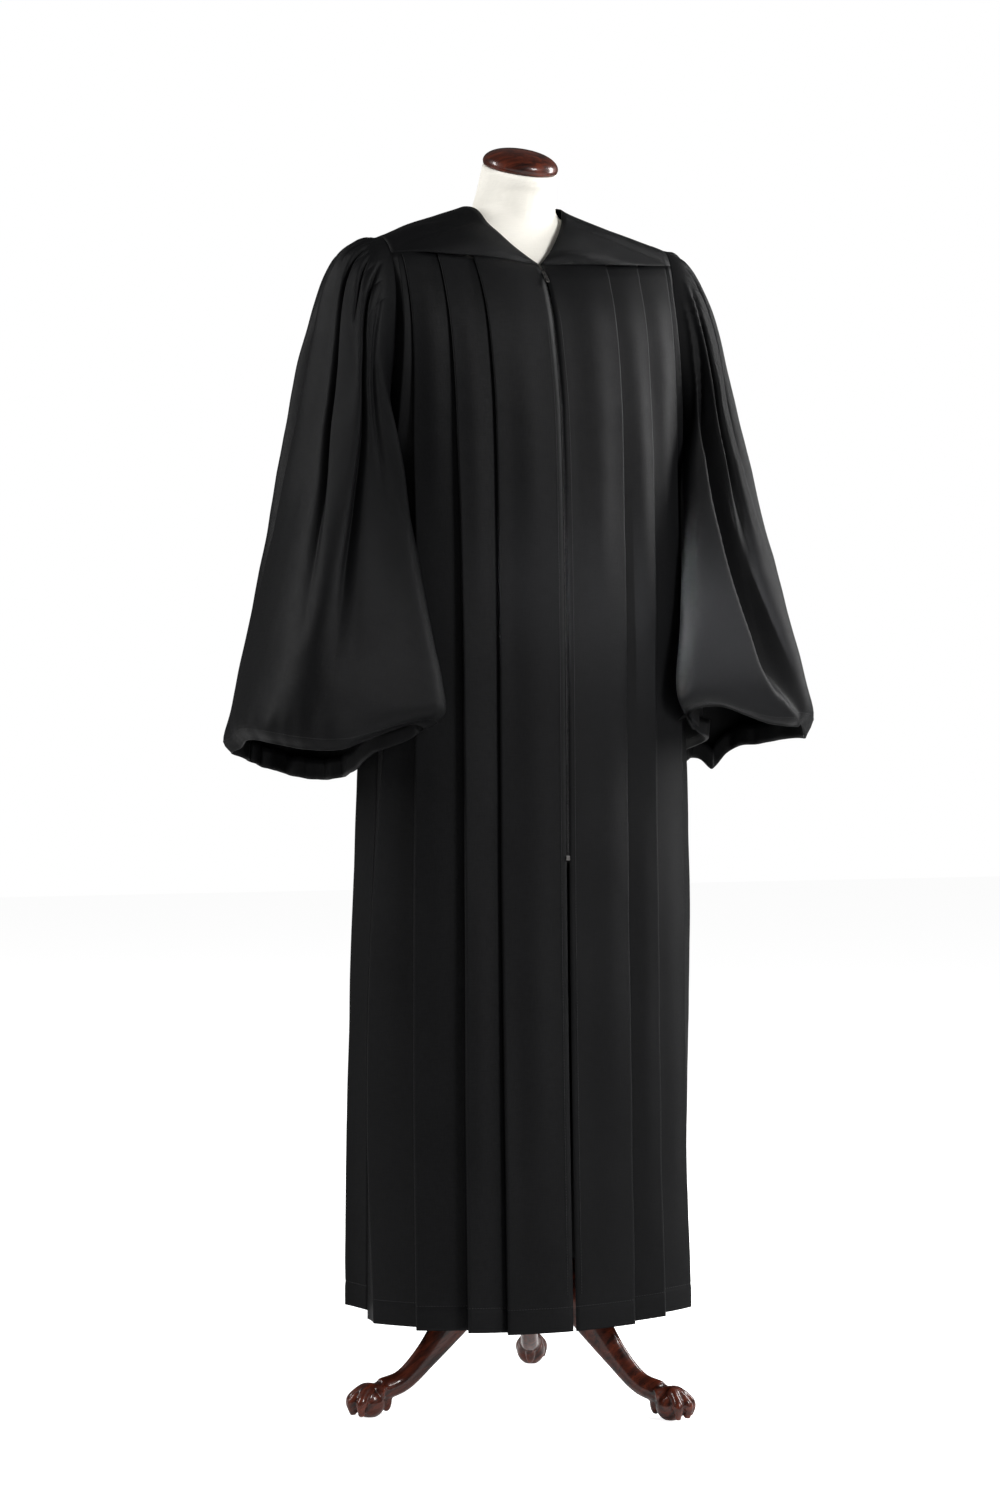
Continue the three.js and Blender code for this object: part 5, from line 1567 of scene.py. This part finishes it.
class SewingOperator(bpy.types.Operator):
    """Sews the lines of stitches beside the zip and round the hems"""
    bl_idname = "gown.sewing"
    bl_label = "Sewing"

    def execute(self, context):
        pitch = sizes().stitch
        parts = []
        z = np.linspace(*ZIP_SEWN_Z, 300)
        for hand in (-1, 1):
            fwd = zip_line(z) + ZIP_SEWN["proud"]
            lean = zip_slope(z)
            normals = np.stack([0 * z, -np.cos(lean), np.sin(lean)], -1)
            parts.append(stitch_run(place(hand * ZIP_SEWN["side"], fwd, z), normals, pitch))
        thread = joined("zip_stitches", parts, thread_material())
        seat(thread, CLOTH_BODY, "gown_cloth")
        self.hems(pitch)
        return {"FINISHED"}

    def hems(self, pitch):
        """The lines of stitches that hold the turned-up hems of the fronts, the back and the sleeves."""
        parts = []
        levels = panel_levels(YOKE_SEAM_Z, FRONT_BOTTOM_Z)
        row = int(np.argmin(np.abs(levels - FRONT_BOTTOM_Z - HEM_DEPTH)))
        for _, hand in WEARERS:
            parts.append(hem_stitches(front_grid(hand), row, (0, -1, 0), pitch))
        levels = panel_levels(BACK_SEAM_Z, BACK_BOTTOM_Z)
        row = int(np.argmin(np.abs(levels - BACK_BOTTOM_Z - HEM_DEPTH)))
        back = back_grid()
        middle = back.shape[1] // 2
        parts.append(hem_stitches(back[:, middle::-1], row, (0, 1, 0), pitch))
        parts.append(hem_stitches(back[:, middle:], row, (0, 1, 0), pitch))
        seat(joined("hem_stitches", parts, thread_material()), CLOTH_BODY, "gown_cloth")
        for wearer, hand in WEARERS:
            part = hem_stitches(sleeve_grid(wearer, hand), SLEEVE_STITCH_ROW, (hand, 0, 0), pitch, True)
            cuff = joined(f"sleeve_stitches_{wearer}", [part], thread_material())
            seat(cuff, CLOTH_BODY, "gown_cloth")


FORM_FOOT = {"levels": (770, 770, 771.5, 775), "shrink": (0.02, 0.94, 0.975, 0.992)}
FORM_LEVELS, FORM_SIDES = 130, 120
FORM_SEAMS = (0, 38, 90, 142, 180, 218, 270, 322)  # degrees round from the front
FORM_GROOVE = {"deep": 0.006, "half_wide": 1.1}  # as a share of the reach, and in degrees
CAP_RIM = [(0, 0), (42.5, 0), (44.6, 0.7), (45.6, 2.2), (46.0, 3.8)]
CAP_DOME = {"radius": 46.4, "from_z": 5.2, "high": 18.6, "squareness": 0.86}
CAP_GAP = 0.35  # between the neck's top and the cap


class FormOperator(bpy.types.Operator):
    """Makes the padded torso's linen cover and the neck cap"""
    bl_idname = "gown.form"
    bl_label = "Dress form"

    def execute(self, context):
        levels = np.concatenate([FORM_FOOT["levels"], np.linspace(782, NECK_TOP_Z, FORM_LEVELS)])
        shrink = np.concatenate([FORM_FOOT["shrink"], np.ones(FORM_LEVELS)])[:, None]
        angle = np.linspace(0, TAU, FORM_SIDES, endpoint=False)[None, :]
        half, front, back, square = (FORM(n, levels)[:, None] for n in ("half", "front", "back", "square"))
        reach = (front - back) / 2
        ahead = reach * signed_power(np.cos(angle), 2 / square) * shrink
        side = half * signed_power(np.sin(angle), 2 / square) * shrink
        tilt = NECK_TILT * smooth((levels - NECK_BASE_Z) / (NECK_TOP_Z - NECK_BASE_Z))[:, None]
        z = levels[:, None] - tilt * ahead
        seams = np.min([np.abs(degrees_apart(np.degrees(angle), a)) for a in FORM_SEAMS], axis=0)
        groove = 1 - FORM_GROOVE["deep"] * bell(seams / FORM_GROOVE["half_wide"])
        grid = place(side * groove, (front + back) / 2 + ahead * groove, z)
        top = grid[-1:].mean(1, keepdims=True)
        lid = [lerp(grid[-1:], top, s) for s in (0.06, 0.5, 0.98)]
        cover = cloth_object("form_cover", np.concatenate([grid, *lid], 0), form_linen(), closed=True)
        cover.modifiers.clear()
        seat(cover, CLOTH_BODY, "form_cover", "form_torso")
        self.cap()
        return {"FINISHED"}

    def cap(self):
        """The neck cap: a domed turning with a rounded rim."""
        profile = list(CAP_RIM)
        for angle in np.linspace(0, math.pi / 2, 24)[:-1]:
            radius = CAP_DOME["radius"] * math.cos(angle) ** CAP_DOME["squareness"]
            profile.append((radius, CAP_DOME["from_z"] + CAP_DOME["high"] * math.sin(angle)))
        profile.append((0, CAP_DOME["from_z"] + CAP_DOME["high"]))
        cap = lathe("form_cap", profile, mahogany("cap mahogany", (0.3, 0.2, 0.5)))
        lean = math.atan(NECK_TILT)
        foot = place(0, NECK_CENTRE + CAP_GAP * math.sin(lean), NECK_TOP_Z + CAP_GAP)
        to_origin = Matrix.Translation((-AXIS_X, -AXIS_Y, 0))
        cap.data.transform(Matrix.Translation(Vector(foot)) @ Matrix.Rotation(lean, 4, "X") @ to_origin)
        seat(cap, CLOTH_BODY, "mahogany", "neck_cap")


POLE = {"radius": 12.5, "chamfer": 1}
COLUMN_PROFILE = [
    (0, 112), (9, 112), (14, 113), (18.5, 117), (20, 120), (18.5, 123), (15, 126), (14, 128),
    (16, 129.5), (27.3, 133), (27.3, 190), (28.5, 193), (30.4, 197), (31, 204), (30.4, 210),
    (27, 214), (24, 216.5), (21.5, 222), (20, 236), (21, 248), (23.5, 260), (26, 273), (27, 286),
    (26, 296), (24, 304), (24.5, 308), (27.5, 311), (29, 316), (28.5, 322), (25, 327), (22, 329.5),
    (0, 330),
]


class StandOperator(bpy.types.Operator):
    """Makes the pole, the turned column and the three carved legs"""
    bl_idname = "gown.stand"
    bl_label = "Stand"

    def execute(self, context):
        steel = metal("brushed steel", (0.5, 0.5, 0.51, 1), 0.3, (0.7, 0.7, 0.7, 1), (60.0, 60.0, 1500.0))
        low, high = POLE_LOW.z / MM, POLE_HIGH.z / MM
        radius, chamfer = POLE["radius"], POLE["chamfer"]
        rod = [(0, low), (radius, low), (radius, high - chamfer), (radius - chamfer, high), (0, high)]
        seat(lathe("stand_pole", rod, steel, bevel=0.4), CLOTH_BODY, "pole_steel", "pole")
        wood = mahogany("column mahogany", (0, math.pi / 2, 0))
        column = lathe("stand_column", COLUMN_PROFILE, wood, bevel=0.5)
        seat(column, CLOTH_BODY, "mahogany", "base_column")
        leg_wood = mahogany("leg mahogany", (0, 0.5, 0))
        for name, degrees in LEG_TURNS.items():
            leg = carved(f"stand_leg_{name}", leg_parts(), leg_wood, LEG_VOXEL)
            self.fit(leg.data)
            turn = Matrix.Rotation(math.radians(degrees), 4, "Z")
            leg.data.transform(Matrix.Translation((AXIS_X, AXIS_Y, 0)) @ turn)
            seat(leg, CLOTH_BODY, "mahogany", f"leg_{name}")
        return {"FINISHED"}

    def fit(self, mesh):
        """Flattens a leg's foot at the floor and pushes its inner end out to the column."""
        points = np.zeros(len(mesh.vertices) * 3)
        mesh.vertices.foreach_get("co", points)
        points = points.reshape(-1, 3)
        points[:, 2] = np.maximum(points[:, 2], 0)
        from_axis = np.linalg.norm(points[:, :2], axis=1)
        inside = (from_axis < LEG_SEAT * MM) & (points[:, 2] > 0.05)
        scale = np.where(inside, LEG_SEAT * MM / np.maximum(from_axis, 1e-6), 1)
        points[:, :2] *= scale[:, None]
        mesh.vertices.foreach_set("co", points.ravel())


OPERATORS = (
    StageOperator, FrontsOperator, BackOperator, YokeOperator, SleevesOperator,
    ZipOperator, SewingOperator, FormOperator, StandOperator,
)


class GownPanel(bpy.types.Panel):
    """Lists the gown's pieces, sizes and colours"""
    bl_idname = "VIEW3D_PT_gown"
    bl_label = "Barrister gown"
    bl_space_type = "VIEW_3D"
    bl_region_type = "UI"
    bl_category = "Gown"

    def draw(self, context):
        for group in (context.scene.gown_sizes, context.scene.gown_colours):
            for name in group.__annotations__:
                self.layout.prop(group, name)
        for operator in OPERATORS:
            self.layout.operator(operator.bl_idname)


CLASSES = (GownSizes, GownColours, *OPERATORS, GownPanel)


def register():
    for made in CLASSES:
        bpy.utils.register_class(made)
    bpy.types.Scene.gown_sizes = bpy.props.PointerProperty(type=GownSizes)
    bpy.types.Scene.gown_colours = bpy.props.PointerProperty(type=GownColours)


def unregister():
    del bpy.types.Scene.gown_sizes
    del bpy.types.Scene.gown_colours
    for made in reversed(CLASSES):
        bpy.utils.unregister_class(made)


def main():
    register()
    for operator in OPERATORS:
        area, name = operator.bl_idname.split(".")
        getattr(getattr(bpy.ops, area), name)()


if __name__ == "__main__":
    main()
